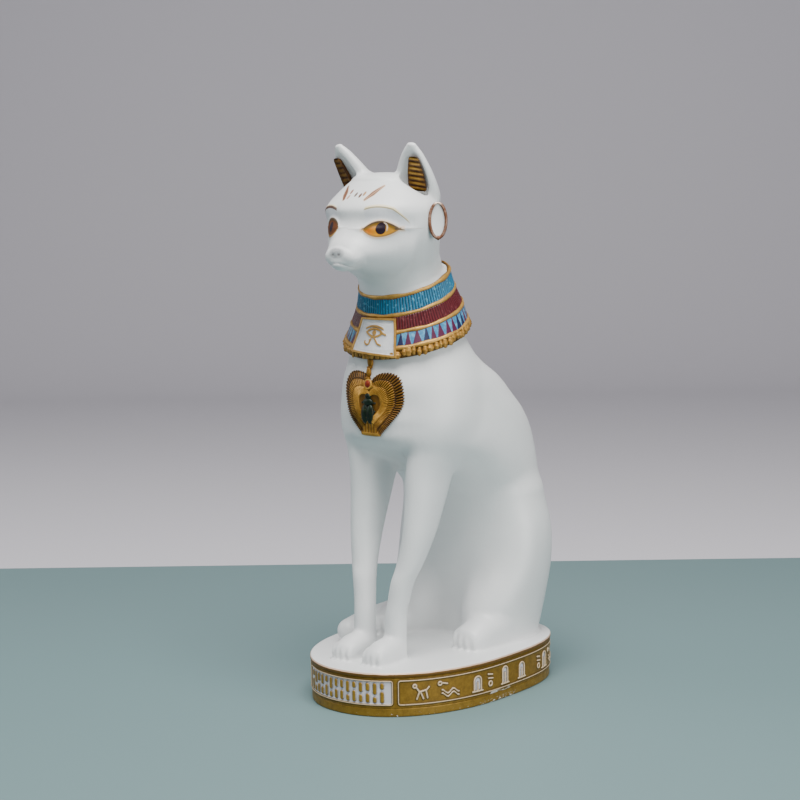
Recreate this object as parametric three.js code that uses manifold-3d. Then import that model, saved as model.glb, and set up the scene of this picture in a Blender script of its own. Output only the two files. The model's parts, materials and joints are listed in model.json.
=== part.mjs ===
// A seated Bastet cat in an ancient Egyptian style, cast in one with its low oval plinth.
// Millimetres, +Z up. The origin is the middle of the plinth's underside, the cat looks along -Y,
// and its left side is +X.

import * as THREE from "three";
import Module from "manifold-3d";
import { mergeVertices } from "three/addons/utils/BufferGeometryUtils.js";

const wasm = await Module();
wasm.setup();

// Driving dimensions
const plinthHeight = 16; // underside to the floor that the paws stand on
const plinthWidth = 70.4; // side to side
const plinthFront = 50; // from the middle of the underside to the front of the outline
const plinthBack = 48.5; // from the middle of the underside to the back of the outline
const plinthRimHeight = 1.6; // thin lip round the top edge
const plinthRimReach = 0.5; // how far that lip stands proud of the wall
const plinthEase = 0.5; // softened edges at the top and the underside
const figureHeight = 184; // plinth top to the tips of the ears
const bandRelief = 0.6; // how far the strokes round the plinth stand proud
const bandHeight = 8.6; // height of the row of strokes
const bandBottom = 3.4; // underside of the plinth to the bottom of that row
const strokeWidth = 1.5; // one stroke of the row
const collarRelief = 0.55; // how far the gold rims of the collar stand proud of its bands
const plaqueRelief = 1.6; // the plaque over the collar
const pendantRelief = 1.5; // the winged scarab over the chest
const earHollow = 1.8; // depth of the open front of each ear

// The cat's own pose and proportions are shares of its height. Its stations are written for a
// figure of referenceHeight, with z counted from the plinth's top, and place() brings them to size.
const referenceHeight = 184;
const figureScale = figureHeight / referenceHeight;

function place(x, y, z) {
  return new THREE.Vector3(x * figureScale, y * figureScale, plinthHeight + z * figureScale);
}

// Signed power, for the outline of a superellipse
function bulge(value, power) {
  return Math.sign(value) * Math.abs(value) ** (2 / power);
}

// Catmull-Rom value between the second and third of four values
function smooth(before, from, to, after, t) {
  const slopeFrom = (to - before) / 2;
  const slopeTo = (after - from) / 2;
  return (
    (2 * t ** 3 - 3 * t ** 2 + 1) * from +
    (t ** 3 - 2 * t ** 2 + t) * slopeFrom +
    (3 * t ** 2 - 2 * t ** 3) * to +
    (t ** 3 - t ** 2) * slopeTo
  );
}

// Stations in between, so that a few chosen ones make a smooth run
function resample(stations, perSpan) {
  const last = stations.length - 1;
  const run = [];
  for (let index = 0; index < last; index += 1) {
    const four = [-1, 0, 1, 2].map((step) => stations[Math.min(last, Math.max(0, index + step))]);
    for (let part = 0; part < perSpan; part += 1) {
      run.push(four[1].map((_, k) => smooth(...four.map((row) => row[k]), part / perSpan)));
    }
  }
  run.push([...stations[last]]);
  return run;
}

// Rings of points joined into one closed skin, with a pole at each end. Each ring runs
// anticlockwise seen against the direction of travel.
function skin(rings, startPole, endPole) {
  const sides = rings[0].length;
  const points = [...rings.flat(), startPole, endPole];
  const start = points.length - 2;
  const end = points.length - 1;
  const faces = [];
  for (let side = 0; side < sides; side += 1) {
    const next = (side + 1) % sides;
    faces.push(start, next, side);
    for (let level = 0; level < rings.length - 1; level += 1) {
      const low = level * sides;
      const high = low + sides;
      faces.push(low + side, low + next, high + next, low + side, high + next, high + side);
    }
    const top = (rings.length - 1) * sides;
    faces.push(top + side, top + next, end);
  }
  return solidOf(points, faces);
}

function solidOf(points, faces) {
  const vertProperties = new Float32Array(points.flatMap((point) => [point.x, point.y, point.z]));
  const triVerts = new Uint32Array(faces);
  return new wasm.Manifold(new wasm.Mesh({ numProp: 3, vertProperties, triVerts }));
}

// A three.js geometry as a solid
function solidFrom(geometry) {
  geometry.deleteAttribute("normal");
  geometry.deleteAttribute("uv");
  const merged = mergeVertices(geometry);
  const vertProperties = new Float32Array(merged.attributes.position.array);
  const triVerts = new Uint32Array(merged.index.array);
  return new wasm.Manifold(new wasm.Mesh({ numProp: 3, vertProperties, triVerts }));
}

// A lofted body. A station is [x, y, z, half width, front reach, back reach, power]. Rings are
// level when level is true, and square to the path otherwise, with the half width along across.
// A rounded end is as long as its number in caps, and grow moves the whole skin out.
function loft(stations, { perSpan, sides, level = false, across = [1, 0, 0], caps = [0, 0], grow = 0 }) {
  const run = resample(stations, perSpan);
  const centres = run.map(([x, y, z]) => place(x, y, z));
  const rings = [];
  const poles = [];

  function ring(index, travel, shrink, shift) {
    const [, , , half, front, back, power] = run[index];
    const forward = level ? new THREE.Vector3(0, 0, 1) : travel;
    const side = new THREE.Vector3(...across);
    side.addScaledVector(forward, -side.dot(forward)).normalize();
    const out = new THREE.Vector3().crossVectors(forward, side);
    const centre = centres[index].clone().addScaledVector(travel, shift * figureScale);
    return Array.from({ length: sides }, (_, k) => {
      const angle = (2 * Math.PI * (k + 0.5)) / sides;
      const reach = (Math.sin(angle) < 0 ? front : back) * figureScale + grow;
      const width = half * figureScale + grow;
      return centre
        .clone()
        .addScaledVector(side, width * shrink * bulge(Math.cos(angle), power))
        .addScaledVector(out, reach * shrink * bulge(Math.sin(angle), power));
    });
  }

  centres.forEach((centre, index) => {
    const before = centres[Math.max(0, index - 1)];
    const after = centres[Math.min(centres.length - 1, index + 1)];
    const travel = after.clone().sub(before).normalize();
    const first = index === 0;
    const final = index === centres.length - 1;
    if (first) {
      poles.push(centre.clone().addScaledVector(travel, -caps[0] * figureScale));
      if (caps[0] > 0) {
        rings.push(ring(index, travel, 0.5, -0.87 * caps[0]));
        rings.push(ring(index, travel, 0.85, -0.53 * caps[0]));
      }
    }
    rings.push(ring(index, travel, 1, 0));
    if (final) {
      if (caps[1] > 0) {
        rings.push(ring(index, travel, 0.85, 0.53 * caps[1]));
        rings.push(ring(index, travel, 0.5, 0.87 * caps[1]));
      }
      poles.push(centre.clone().addScaledVector(travel, caps[1] * figureScale));
    }
  });
  return skin(rings, poles[0], poles[1]);
}

// The same stations on the cat's other side
function mirrored(stations, hand) {
  return stations.map(([x, ...rest]) => [hand * x, ...rest]);
}

// A ball pressed out to three reaches, for toes, cheeks and eyes
function pebble(x, y, z, reachX, reachY, reachZ, sides = 10, rows = 6) {
  const geometry = new THREE.SphereGeometry(1, sides, rows);
  geometry.scale(reachX * figureScale, reachY * figureScale, reachZ * figureScale);
  const centre = place(x, y, z);
  geometry.translate(centre.x, centre.y, centre.z);
  return solidFrom(geometry);
}

function joined(solids) {
  return solids.reduce((whole, solid) => whole.add(solid));
}

// Body from the plinth up to the throat: belly, hunched back, chest and neck
const torsoStations = [
  [0, 22, -3, 23, 8, 22, 2.4],
  [0, 22.5, 14, 24.5, 9, 24.5, 2.4],
  [0, 24, 32, 24.5, 13, 24, 2.2],
  [0, 25.5, 46, 25.5, 17, 23.5, 2.1],
  [0, 24.5, 58, 26.8, 21, 26.4, 2.1],
  [0, 18.5, 68, 27.6, 28.5, 30.8, 2.2],
  [0, 9, 77, 27.8, 36.5, 38.2, 2.35],
  [0, 5, 85, 27.2, 35.3, 37.2, 2.4],
  [0, 2, 92, 26.4, 32, 32.6, 2.4],
  [0, -2, 99, 25.4, 28, 29, 2.35],
  [0, -5.5, 106, 23.4, 22.8, 21.8, 2.2],
  [0, -9, 115, 20.6, 17.8, 17, 2.1],
  [0, -11, 127, 16.8, 15, 14.8, 2],
  [0, -14, 142, 14.3, 13.6, 14, 2],
];

function torso(grow = 0) {
  return loft(torsoStations, { perSpan: 2, sides: 24, level: true, caps: [0, 3], grow });
}

function haunch(hand) {
  const stations = [
    [16, 24, -3, 9.4, 18, 17, 2.2],
    [16.8, 24, 12, 12.2, 18.5, 19.6, 2.2],
    [17.8, 25, 28, 13.5, 11.5, 21, 2.2],
    [17.8, 26.4, 42, 13.3, 10.4, 19.8, 2.1],
    [16.7, 26.7, 54, 11.8, 11.2, 17, 2],
  ];
  return loft(mirrored(stations, hand), { perSpan: 2, sides: 16, level: true, caps: [0, 8] });
}

function frontLeg(hand) {
  const stations = [
    [7.3, -27.4, -2, 4.1, 4.4, 4.4, 2],
    [7.3, -27, 14, 3.8, 4.2, 4.2, 2],
    [8, -26.1, 21, 3.8, 4.3, 4.3, 2],
    [9.1, -24.9, 28, 4, 4.8, 4.8, 2],
    [10.6, -22.8, 34, 4.5, 5.3, 5.3, 2],
    [12.2, -19.6, 44, 5, 7.2, 7.2, 2],
    [12.8, -16.4, 56, 5.8, 9.2, 9.2, 2],
    [13.1, -14, 66, 6.8, 11, 10.8, 2],
    [14.4, -11.2, 75, 8.4, 13.2, 12.6, 2],
    [15.7, -9.8, 84, 10.3, 14.8, 14.6, 2],
    [15.5, -9.2, 93, 10.8, 14.6, 14.6, 2],
    [14.6, -8.6, 102, 10.3, 13, 14.2, 2],
    [12.8, -8.3, 110, 9.6, 11.5, 12.9, 2],
    [10.6, -8.4, 118, 8.4, 9.5, 10.6, 2],
  ];
  return loft(mirrored(stations, hand), { perSpan: 1, sides: 12, level: true, caps: [0, 3] });
}

// Paws are short pads with four toes, flat enough in front to show them as a row
function paw(hand, stations, toeRow, caps) {
  const pad = loft(mirrored(stations, hand), { perSpan: 1, sides: 10, caps });
  const [x, y, z, pitch, reach, tall] = toeRow;
  const toes = [-1.5, -0.5, 0.5, 1.5].map((step) => {
    const back = Math.abs(step) > 1 ? 0.6 : 0;
    return pebble(hand * (x + step * pitch), y + back, z, pitch * 0.66, reach, tall, 6, 4);
  });
  return joined([pad, ...toes]);
}

function frontPaw(hand) {
  const stations = [
    [7.2, -27.6, 3.2, 4, 5, 5, 2.2],
    [7.2, -31.2, 3.2, 4.8, 5, 5.4, 2.2],
    [7.2, -35, 2.8, 5, 5, 5.2, 2.3],
    [7.2, -38.2, 2, 4.8, 4, 4.4, 2.3],
  ];
  return paw(hand, stations, [7.2, -38.2, 2.4, 2.4, 3.9, 3.4], [2, 3]);
}

function hindFoot(hand) {
  const stations = [
    [20, 24, 5.5, 6.3, 8, 6.4, 2.2],
    [20.4, 13, 5.2, 6.9, 8, 7, 2.2],
    [20.2, 5, 4.4, 6.8, 7, 6.2, 2.3],
    [19.6, -0.5, 3, 6.4, 5, 5.2, 2.3],
  ];
  return paw(hand, stations, [19.6, -0.6, 3, 3, 3.8, 4.2], [3, 3]);
}

// The tail leaves the rump and lies on the plinth along the cat's right side
function tail() {
  const stations = [
    [-4, 41.5, 6, 5, 5, 5, 2],
    [-14, 41.8, 5, 5, 5, 5, 2],
    [-21.5, 37.8, 4.7, 4.9, 4.9, 4.9, 2],
    [-26.2, 30.5, 4.6, 4.9, 4.9, 4.9, 2],
    [-28.6, 21, 4.4, 4.8, 4.8, 4.8, 2],
    [-28.6, 8, 4.3, 4.7, 4.7, 4.7, 2],
    [-26.6, -5, 4.2, 4.6, 4.6, 4.6, 2],
    [-24, -14, 4.3, 4.5, 4.5, 4.5, 2],
    [-22.6, -19, 4.4, 4.3, 4.3, 4.3, 2],
  ];
  return loft(stations, { perSpan: 1, sides: 9, across: [0, 0, 1], caps: [3, 4] });
}

function head() {
  const stations = [
    [0, -14, 132, 13, 10.4, 16.5, 2],
    [0, -17, 139, 15.4, 13.7, 18.4, 2],
    [0, -19.8, 145, 18.2, 18.4, 18.4, 2],
    [0, -21.3, 151, 20.4, 19, 17.4, 2.05],
    [0, -22, 157, 21.2, 18.4, 16.2, 2.1],
    [0, -22, 162, 20.8, 18.4, 16, 2.1],
    [0, -21.6, 167, 17.3, 13.6, 14.8, 2.1],
    [0, -21.4, 171, 12.8, 9.6, 12, 2.05],
  ];
  return loft(stations, { perSpan: 2, sides: 20, level: true, caps: [0, 2.8] });
}

function muzzle() {
  const stations = [
    [0, -28, 148, 17, 11, 14, 2],
    [0, -36, 147.4, 13, 8.4, 10.2, 2],
    [0, -42, 146.4, 9, 5.8, 6.2, 2],
    [0, -45.6, 145.2, 5.8, 4.4, 3.8, 2],
  ];
  const snout = loft(stations, { perSpan: 1, sides: 14, caps: [0, 3] });
  const pads = [-1, 1].map((hand) => pebble(hand * 3.6, -43.4, 144.9, 4.1, 4.6, 3.3, 10, 5));
  const nose = pebble(0, -46.3, 147, 2.5, 1.9, 1.7, 8, 4);
  const chin = pebble(0, -42.8, 142.4, 4.4, 4.8, 2.5, 8, 5);
  return joined([snout, ...pads, nose, chin]);
}

// Ears stand up from the crown and open forwards and outwards
const earBase = [12.6, -18.5, 165.5];
const earTip = [17.1, -26.9, 184];
const earAcross = [11.5, 5.8, -9];
const earFacing = [0.47, -0.87]; // the way its open front looks, in plan

function earStations(rows, forward) {
  return rows.map(([rise, half, front, back]) => {
    const along = earBase.map((value, k) => value + (earTip[k] - value) * rise);
    return [along[0] + earFacing[0] * forward, along[1] + earFacing[1] * forward, along[2], half, front, back, 2];
  });
}

function ear(hand) {
  const shell = earStations([
    [-0.16, 7.4, 3.2, 7.4],
    [0, 8.5, 3, 7.2],
    [0.28, 7.8, 2.7, 5.4],
    [0.55, 6.2, 2.2, 3.8],
    [0.8, 3.9, 1.6, 2.5],
    [0.95, 1.8, 0.9, 1.3],
  ], 0);
  const hollow = earStations([
    [0.02, 4.2, 1.6, earHollow],
    [0.2, 5.4, 2.4, earHollow],
    [0.45, 4.8, 2.4, earHollow],
    [0.68, 3.2, 2, earHollow * 0.8],
    [0.84, 1.4, 1.4, earHollow * 0.5],
  ], 2.6);
  const across = earAcross.map((value, k) => (k === 0 ? value : hand * value));
  const outer = loft(mirrored(shell, hand), { perSpan: 1, sides: 12, across, caps: [0, 0.9] });
  const inner = loft(mirrored(hollow, hand), { perSpan: 1, sides: 8, across, caps: [1, 0.8] });
  return outer.subtract(inner);
}

// Closed hoop in relief beside each cheek, filled behind: an oval disc with a shallow pocket
const earringWire = 1.7;
const earringPocket = 0.8;
const earringReach = [3.6, 6.6]; // half its width and half its height
const earringPlace = [23.1, -20.6, 157];
const earringBack = 7.4; // from its middle into the cheek
const earringProud = 1; // from its middle outwards
const earringTurn = 0.75; // radians that it turns from facing forwards to facing out

function ovalDisc(reachAcross, reachUp, from, to) {
  const outline = new THREE.Shape();
  outline.absellipse(0, 0, reachAcross * figureScale, reachUp * figureScale, 0, 2 * Math.PI);
  const depth = (to - from) * figureScale;
  const disc = new THREE.ExtrudeGeometry(outline, { depth, bevelEnabled: false, curveSegments: 9 });
  return disc.translate(0, 0, from * figureScale);
}

function earring(hand) {
  const inner = earringReach.map((reach) => reach - earringWire);
  const disc = ovalDisc(...earringReach, -earringBack, earringProud);
  const pocket = ovalDisc(...inner, earringProud - earringPocket, 2 * earringProud);
  const turn = new THREE.Matrix4().makeRotationX(Math.PI / 2);
  turn.premultiply(new THREE.Matrix4().makeRotationZ(hand * earringTurn));
  const [x, y, z] = earringPlace;
  turn.setPosition(place(hand * x, y, z));
  return solidFrom(disc.applyMatrix4(turn)).subtract(solidFrom(pocket.applyMatrix4(turn)));
}

// Broad collar: each rim is a tilted ellipse [y, z, half width, half depth, slope], and stands
// proud of the bands between as a ridge
const collarRims = [
  [-11.1, 135.7, 17, 15, 0.39],
  [-10.3, 129.3, 18.6, 16, 0.39],
  [-9.8, 123.4, 21.3, 18, 0.35],
  [-10, 117.8, 23.4, 19.8, 0.32],
  [-9.8, 114.6, 23.7, 20.6, 0.32],
];
const collarSides = 40;
const fringeDrops = 20;
const ridgeShare = 0.17; // half a ridge, as a share of the way to the next rim

function collar(grow = 0) {
  const rows = [];
  collarRims.forEach((rim, index) => {
    const next = collarRims[index + 1];
    const mix = (share) => rim.map((value, k) => value + (next[k] - value) * share);
    rows.push([...rim, collarRelief]);
    if (next) {
      rows.push([...mix(ridgeShare), 0]);
      rows.push([...mix(1 - ridgeShare), 0]);
    }
  });
  const ringAt = ([y, z, halfX, halfY, slope, proud], inset, drop) =>
    Array.from({ length: collarSides }, (_, k) => {
      const angle = (2 * Math.PI * k) / collarSides;
      const scallop = drop * Math.abs(Math.sin((angle * fringeDrops) / 2));
      const deep = (halfY - inset) * Math.sin(angle);
      const point = place((halfX - inset) * Math.cos(angle), y + deep, z + slope * deep - scallop);
      const push = proud + grow;
      return point.add(new THREE.Vector3(push * Math.cos(angle), push * Math.sin(angle), 0));
    });
  const outside = rows.reverse().map((row, index) => ringAt(row, 0, index === 0 ? 1.1 : 0));
  const lowest = rows[0];
  const highest = rows[rows.length - 1];
  const rings = [ringAt(lowest, 3, 0), ...outside, ringAt(highest, 2.2, 0)];
  const [lowY, lowZ] = lowest;
  const [highY, highZ] = highest;
  return skin(rings, place(0, lowY, lowZ), place(0, highY, highZ));
}

// A flat outline carried straight forward from the middle of the chest, out past its front
const cutterDepth = 60;

function cutter(outline, z) {
  const geometry = new THREE.ExtrudeGeometry(outline, {
    depth: cutterDepth * figureScale,
    bevelEnabled: false,
    curveSegments: 6,
  });
  geometry.rotateX(Math.PI / 2);
  const at = place(0, -2, z);
  geometry.translate(0, at.y, at.z);
  return solidFrom(geometry);
}

// Trapezoid plaque over the front of the collar
const plaqueTopHalf = 7.4;
const plaqueBottomHalf = 9.9;
const plaqueHeight = 12.8;
const plaqueBottom = 110.3;

function plaque() {
  const topHalf = plaqueTopHalf * figureScale;
  const bottomHalf = plaqueBottomHalf * figureScale;
  const height = plaqueHeight * figureScale;
  const outline = new THREE.Shape();
  outline.moveTo(-bottomHalf, 0);
  outline.lineTo(bottomHalf, 0);
  outline.lineTo(topHalf, height);
  outline.lineTo(-topHalf, height);
  return cutter(outline, plaqueBottom).intersect(collar(plaqueRelief));
}

// Heart shaped winged scarab over the chest
const pendantHalf = 13.2;
const pendantHeight = 20.4; // from its point to the notch between the wings
const pendantLobe = 6.6; // from the middle to the top of a wing
const pendantBottom = 80.8;

function pendant() {
  const half = pendantHalf * figureScale;
  const top = pendantHeight * figureScale;
  const lobe = pendantLobe * figureScale;
  const outline = new THREE.Shape();
  outline.moveTo(0, 0);
  outline.bezierCurveTo(half * 0.5, 0.2 * top, half, 0.42 * top, half, 0.68 * top);
  outline.bezierCurveTo(half, top, half * 0.85, top * 1.12, lobe, top * 1.12);
  outline.bezierCurveTo(lobe * 0.4, top * 1.12, 0, top * 1.02, 0, top * 0.9);
  outline.bezierCurveTo(0, top * 1.02, -lobe * 0.4, top * 1.12, -lobe, top * 1.12);
  outline.bezierCurveTo(-half * 0.85, top * 1.12, -half, top, -half, top * 0.68);
  outline.bezierCurveTo(-half, 0.42 * top, -half * 0.5, 0.2 * top, 0, 0);
  return cutter(outline, pendantBottom).intersect(torso(pendantRelief));
}

// Plan of the plinth: a superellipse, blunter at the back than at the front
const plinthFrontPower = 2.12;
const plinthBackPower = 3;

function plinthPoint(angle, grow) {
  const across = Math.cos(angle);
  const along = Math.sin(angle);
  const power = along < 0 ? plinthFrontPower : plinthBackPower;
  const reach = along < 0 ? plinthFront : plinthBack;
  return [(plinthWidth / 2 + grow) * bulge(across, power), (reach + grow) * bulge(along, power)];
}

function plinth() {
  const sides = 56;
  const levels = [
    [0, -plinthEase],
    [plinthEase, 0],
    [plinthHeight - plinthRimHeight - plinthRimReach, 0],
    [plinthHeight - plinthRimHeight, plinthRimReach],
    [plinthHeight - plinthEase, plinthRimReach],
    [plinthHeight, plinthRimReach - plinthEase],
  ];
  const rings = levels.map(([z, grow]) =>
    Array.from({ length: sides }, (_, k) => {
      const [x, y] = plinthPoint((2 * Math.PI * k) / sides, grow);
      return new THREE.Vector3(x, y, z);
    }),
  );
  return skin(rings, new THREE.Vector3(0, 0, 0), new THREE.Vector3(0, 0, plinthHeight));
}

// Row of shallow strokes round the plinth. Each group is a list of bars [shift along the wall,
// lift and height as shares of the row], and the groups follow one another in turn.
const strokeGroups = [
  [[-2, 0, 1], [2, 0, 1]],
  [[0, 0, 1]],
  [[-1.6, 0.25, 0.5], [1.6, -0.25, 0.5]],
];
const groupCount = 14;
const strokeRoot = 0.5; // how far a stroke goes into the wall, past its relief

function plinthStrokes() {
  const strokes = [];
  for (let index = 0; index < groupCount; index += 1) {
    const angle = (2 * Math.PI * (index + 0.5)) / groupCount - Math.PI / 2;
    const [x, y] = plinthPoint(angle, 0);
    const [nextX, nextY] = plinthPoint(angle + 0.01, 0);
    const facing = Math.atan2(nextY - y, nextX - x);
    strokeGroups[index % strokeGroups.length].forEach(([shift, lift, tall]) => {
      const depth = 2 * (bandRelief + strokeRoot);
      const bar = new THREE.BoxGeometry(strokeWidth, depth, bandHeight * tall);
      const middle = bandBottom + bandHeight * (0.5 + lift);
      bar.rotateZ(facing);
      bar.translate(x + shift * Math.cos(facing), y + shift * Math.sin(facing), middle);
      strokes.push(solidFrom(bar));
    });
  }
  return joined(strokes);
}

const figure = joined([
  torso(),
  haunch(1),
  haunch(-1),
  frontLeg(1),
  frontLeg(-1),
  frontPaw(1),
  frontPaw(-1),
  hindFoot(1),
  hindFoot(-1),
  tail(),
  head(),
  muzzle(),
  ear(1),
  ear(-1),
  earring(1),
  earring(-1),
  collar(),
  plaque(),
  pendant(),
]);
const whole = joined([plinth(), plinthStrokes(), figure]);

function geometryOf(solid) {
  const mesh = solid.getMesh();
  const geometry = new THREE.BufferGeometry();
  geometry.setAttribute("position", new THREE.BufferAttribute(mesh.vertProperties, 3));
  geometry.setIndex(new THREE.BufferAttribute(mesh.triVerts, 1));
  geometry.computeVertexNormals();
  return geometry;
}

const whiteResin = new THREE.MeshStandardMaterial({ color: 0xe8ebec, roughness: 0.4, metalness: 0 });
const cat = new THREE.Mesh(geometryOf(whole), whiteResin);
cat.name = "cat_figure";

const group = new THREE.Group();
group.add(cat);
export default group;
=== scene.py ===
# %% [markdown]
# # A seated Bastet cat, cast in resin and painted by hand
# This notebook dresses one cast souvenir: a white cat on a low oval plinth, with a broad enamelled
# collar, a winged scarab on the chest and a gilded band of raised strokes round the plinth.
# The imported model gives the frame. Every piece below is worked out in millimetres in that frame,
# and only the last step of making a mesh turns millimetres into Blender's metres.

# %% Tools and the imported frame
import json
import math
import bpy
import numpy as np
import openvdb
from mathutils import Matrix, Vector

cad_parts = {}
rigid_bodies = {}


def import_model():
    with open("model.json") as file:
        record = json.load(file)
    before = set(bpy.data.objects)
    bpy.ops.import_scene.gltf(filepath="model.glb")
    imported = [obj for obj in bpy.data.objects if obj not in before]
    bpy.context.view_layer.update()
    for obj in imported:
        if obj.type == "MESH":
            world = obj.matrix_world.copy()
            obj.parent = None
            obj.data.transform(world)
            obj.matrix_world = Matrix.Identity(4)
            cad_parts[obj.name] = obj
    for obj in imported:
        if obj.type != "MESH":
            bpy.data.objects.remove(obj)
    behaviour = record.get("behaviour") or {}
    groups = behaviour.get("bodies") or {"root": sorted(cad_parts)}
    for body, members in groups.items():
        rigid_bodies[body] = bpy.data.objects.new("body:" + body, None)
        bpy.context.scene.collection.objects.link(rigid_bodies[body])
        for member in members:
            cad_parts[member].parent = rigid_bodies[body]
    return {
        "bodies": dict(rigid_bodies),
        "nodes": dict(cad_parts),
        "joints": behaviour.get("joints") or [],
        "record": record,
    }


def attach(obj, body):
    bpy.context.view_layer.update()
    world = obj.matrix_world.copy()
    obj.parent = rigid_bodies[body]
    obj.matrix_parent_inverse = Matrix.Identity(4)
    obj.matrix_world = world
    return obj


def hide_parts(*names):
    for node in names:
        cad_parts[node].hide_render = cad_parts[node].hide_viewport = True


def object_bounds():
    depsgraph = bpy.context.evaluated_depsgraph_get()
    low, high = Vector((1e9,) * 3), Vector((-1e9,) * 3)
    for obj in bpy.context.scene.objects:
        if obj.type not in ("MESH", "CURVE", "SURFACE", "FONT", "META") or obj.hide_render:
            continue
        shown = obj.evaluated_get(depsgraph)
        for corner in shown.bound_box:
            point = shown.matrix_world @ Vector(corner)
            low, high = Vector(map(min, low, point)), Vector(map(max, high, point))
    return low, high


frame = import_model()
cad_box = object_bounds()
MM = 0.001  # a millimetre in Blender's metres
UP = np.array([0.0, 0.0, 1.0])
low_mm, high_mm = (np.array(corner) / MM for corner in cad_box)
print("frame from", low_mm.round(1), "to", high_mm.round(1), "mm")

# %% [markdown]
# ## The camera
# The photograph looks slightly down on the cat from its front left. The camera's axes are worked
# out from an azimuth, an elevation and a small roll, and its distance and lens from the size of
# the cat in the picture. It is made first.

# %% Camera
PICTURE = 800  # pixels across the photograph
SENSOR = 36.0  # millimetres across the camera's sensor
AZIMUTH = math.radians(40.0)
ELEVATION = math.radians(6.937)
ROLL = math.radians(-0.778)
FOCAL_PIXELS = 1910.61  # the lens's length in pixels of the photograph
DISTANCE = 709.15
TARGET = np.array([-11.43, -0.743, 105.81])  # the place in the middle of the picture
CLIP_START = 0.01  # metres


def camera_axes(azimuth, elevation, roll):
    """Right, up and back axes of a camera that looks along +Y at azimuth 0: the back axis points
    from the target to the camera, right is level, and both are then turned by the roll."""
    back = np.array([
        math.sin(azimuth) * math.cos(elevation),
        -math.cos(azimuth) * math.cos(elevation),
        math.sin(elevation),
    ])
    right = np.array([math.cos(azimuth), math.sin(azimuth), 0.0])
    up = np.cross(back, right)
    turned_right = right * math.cos(roll) + up * math.sin(roll)
    turned_up = np.cross(back, turned_right)
    return turned_right, turned_up, back


def add_camera():
    right, up, back = camera_axes(AZIMUTH, ELEVATION, ROLL)
    place = (TARGET + DISTANCE * back) * MM
    camera = bpy.data.objects.new("camera", bpy.data.cameras.new("camera"))
    camera.data.sensor_width = SENSOR
    camera.data.lens = FOCAL_PIXELS / PICTURE * SENSOR
    camera.data.clip_start = CLIP_START
    turn = Matrix((right, up, back)).transposed()
    camera.matrix_world = Matrix.Translation(Vector(place)) @ turn.to_4x4()
    bpy.context.scene.collection.objects.link(camera)
    bpy.context.scene.camera = camera
    print("camera at", (place / MM).round(1), "mm, lens", round(camera.data.lens, 1), "mm")


add_camera()

# %% [markdown]
# ## Floor and light
# The figure was photographed in a bright room with soft light from above. One wide lamp overhead
# does most of the work, a weaker one on either side opens the shadows, and a pale world fills the
# rest. The floor is a pale green cloth that ends not far behind the figure. Beyond its edge the
# same sheet is lavender grey and turns up into a wall, so the picture has one line across it.

# %% Floor and lamps
CLOTH_EDGE = 218.0  # how far behind the figure the pale green cloth ends
FLOOR_REACH = 900.0  # how far back the sheet is level
FLOOR_BEND = 300.0  # radius of the quarter circle in which it turns up
FLOOR_RISE = 700.0
CLOTH_GREEN = (0.16, 0.255, 0.265)
WALL_GREY = (0.66, 0.64, 0.69)
ROOM_COLOUR = (0.9, 0.91, 0.95)
ROOM_STRENGTH = 0.25
LAMP_AIM = (0, 0, 110)
LAMPS = (  # name, place, width, watts, colour
    ("overhead", (170, -210, 730), 520, 9.0, (1.0, 0.985, 0.96)),
    ("window", (-620, -380, 420), 520, 1.35, (0.95, 0.98, 1.0)),
    ("fill", (700, -90, 150), 500, 3.1, (1.0, 0.99, 0.97)),
)


def link(piece):
    bpy.context.scene.collection.objects.link(piece)
    return piece


def flat_material(name, colour, roughness):
    material = bpy.data.materials.new(name)
    material.use_nodes = True
    shader = material.node_tree.nodes["Principled BSDF"]
    shader.inputs["Base Color"].default_value = (*colour, 1)
    shader.inputs["Roughness"].default_value = roughness
    return material


def add_lamp(name, place, size, watts, colour):
    """A round area lamp that shines at the middle of the figure."""
    lamp = bpy.data.lights.new(name, "AREA")
    lamp.shape = "DISK"
    lamp.size = size * MM
    lamp.energy = watts
    lamp.color = colour
    direction = Vector(np.subtract(LAMP_AIM, place))
    turn = direction.to_track_quat("-Z", "Y").to_matrix().to_4x4()
    link(bpy.data.objects.new(name, lamp)).matrix_world = Matrix.Translation(Vector(place) * MM) @ turn


def add_floor():
    """One sheet, square to the camera, in two colours. Its profile is level, then a quarter circle
    that goes back by radius * sin and up by radius * (1 - cos), then upright."""
    bend = np.linspace(0, np.pi / 2, 24)
    end = FLOOR_REACH + FLOOR_BEND
    y = np.concatenate([[-FLOOR_REACH, CLOTH_EDGE], FLOOR_REACH + FLOOR_BEND * np.sin(bend), [end]])
    z = np.concatenate([[0, 0], FLOOR_BEND - FLOOR_BEND * np.cos(bend), [FLOOR_BEND + FLOOR_RISE]])
    x = np.array([-2 * FLOOR_REACH, 2 * FLOOR_REACH])
    right, _, toward = camera_axes(AZIMUTH, 0.0, 0.0)
    points = x[None, :, None] * right - y[:, None, None] * toward + z[:, None, None] * UP
    rows = np.arange(len(y) - 1)
    faces = np.stack([2 * rows, 2 * rows + 1, 2 * rows + 3, 2 * rows + 2], axis=1)
    mesh = bpy.data.meshes.new("floor")
    mesh.from_pydata((points.reshape(-1, 3) * MM).tolist(), [], faces.tolist())
    mesh.materials.append(flat_material("pale floor", CLOTH_GREEN, 0.6))
    mesh.materials.append(flat_material("pale wall", WALL_GREY, 0.8))
    mesh.polygons.foreach_set("material_index", (rows > 0).astype(int).tolist())
    mesh.shade_smooth()
    link(bpy.data.objects.new("floor", mesh))


def set_world():
    world = bpy.data.worlds.new("soft room")
    world.use_nodes = True
    background = world.node_tree.nodes["Background"]
    background.inputs["Color"].default_value = (*ROOM_COLOUR, 1)
    background.inputs["Strength"].default_value = ROOM_STRENGTH
    bpy.context.scene.world = world


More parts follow.
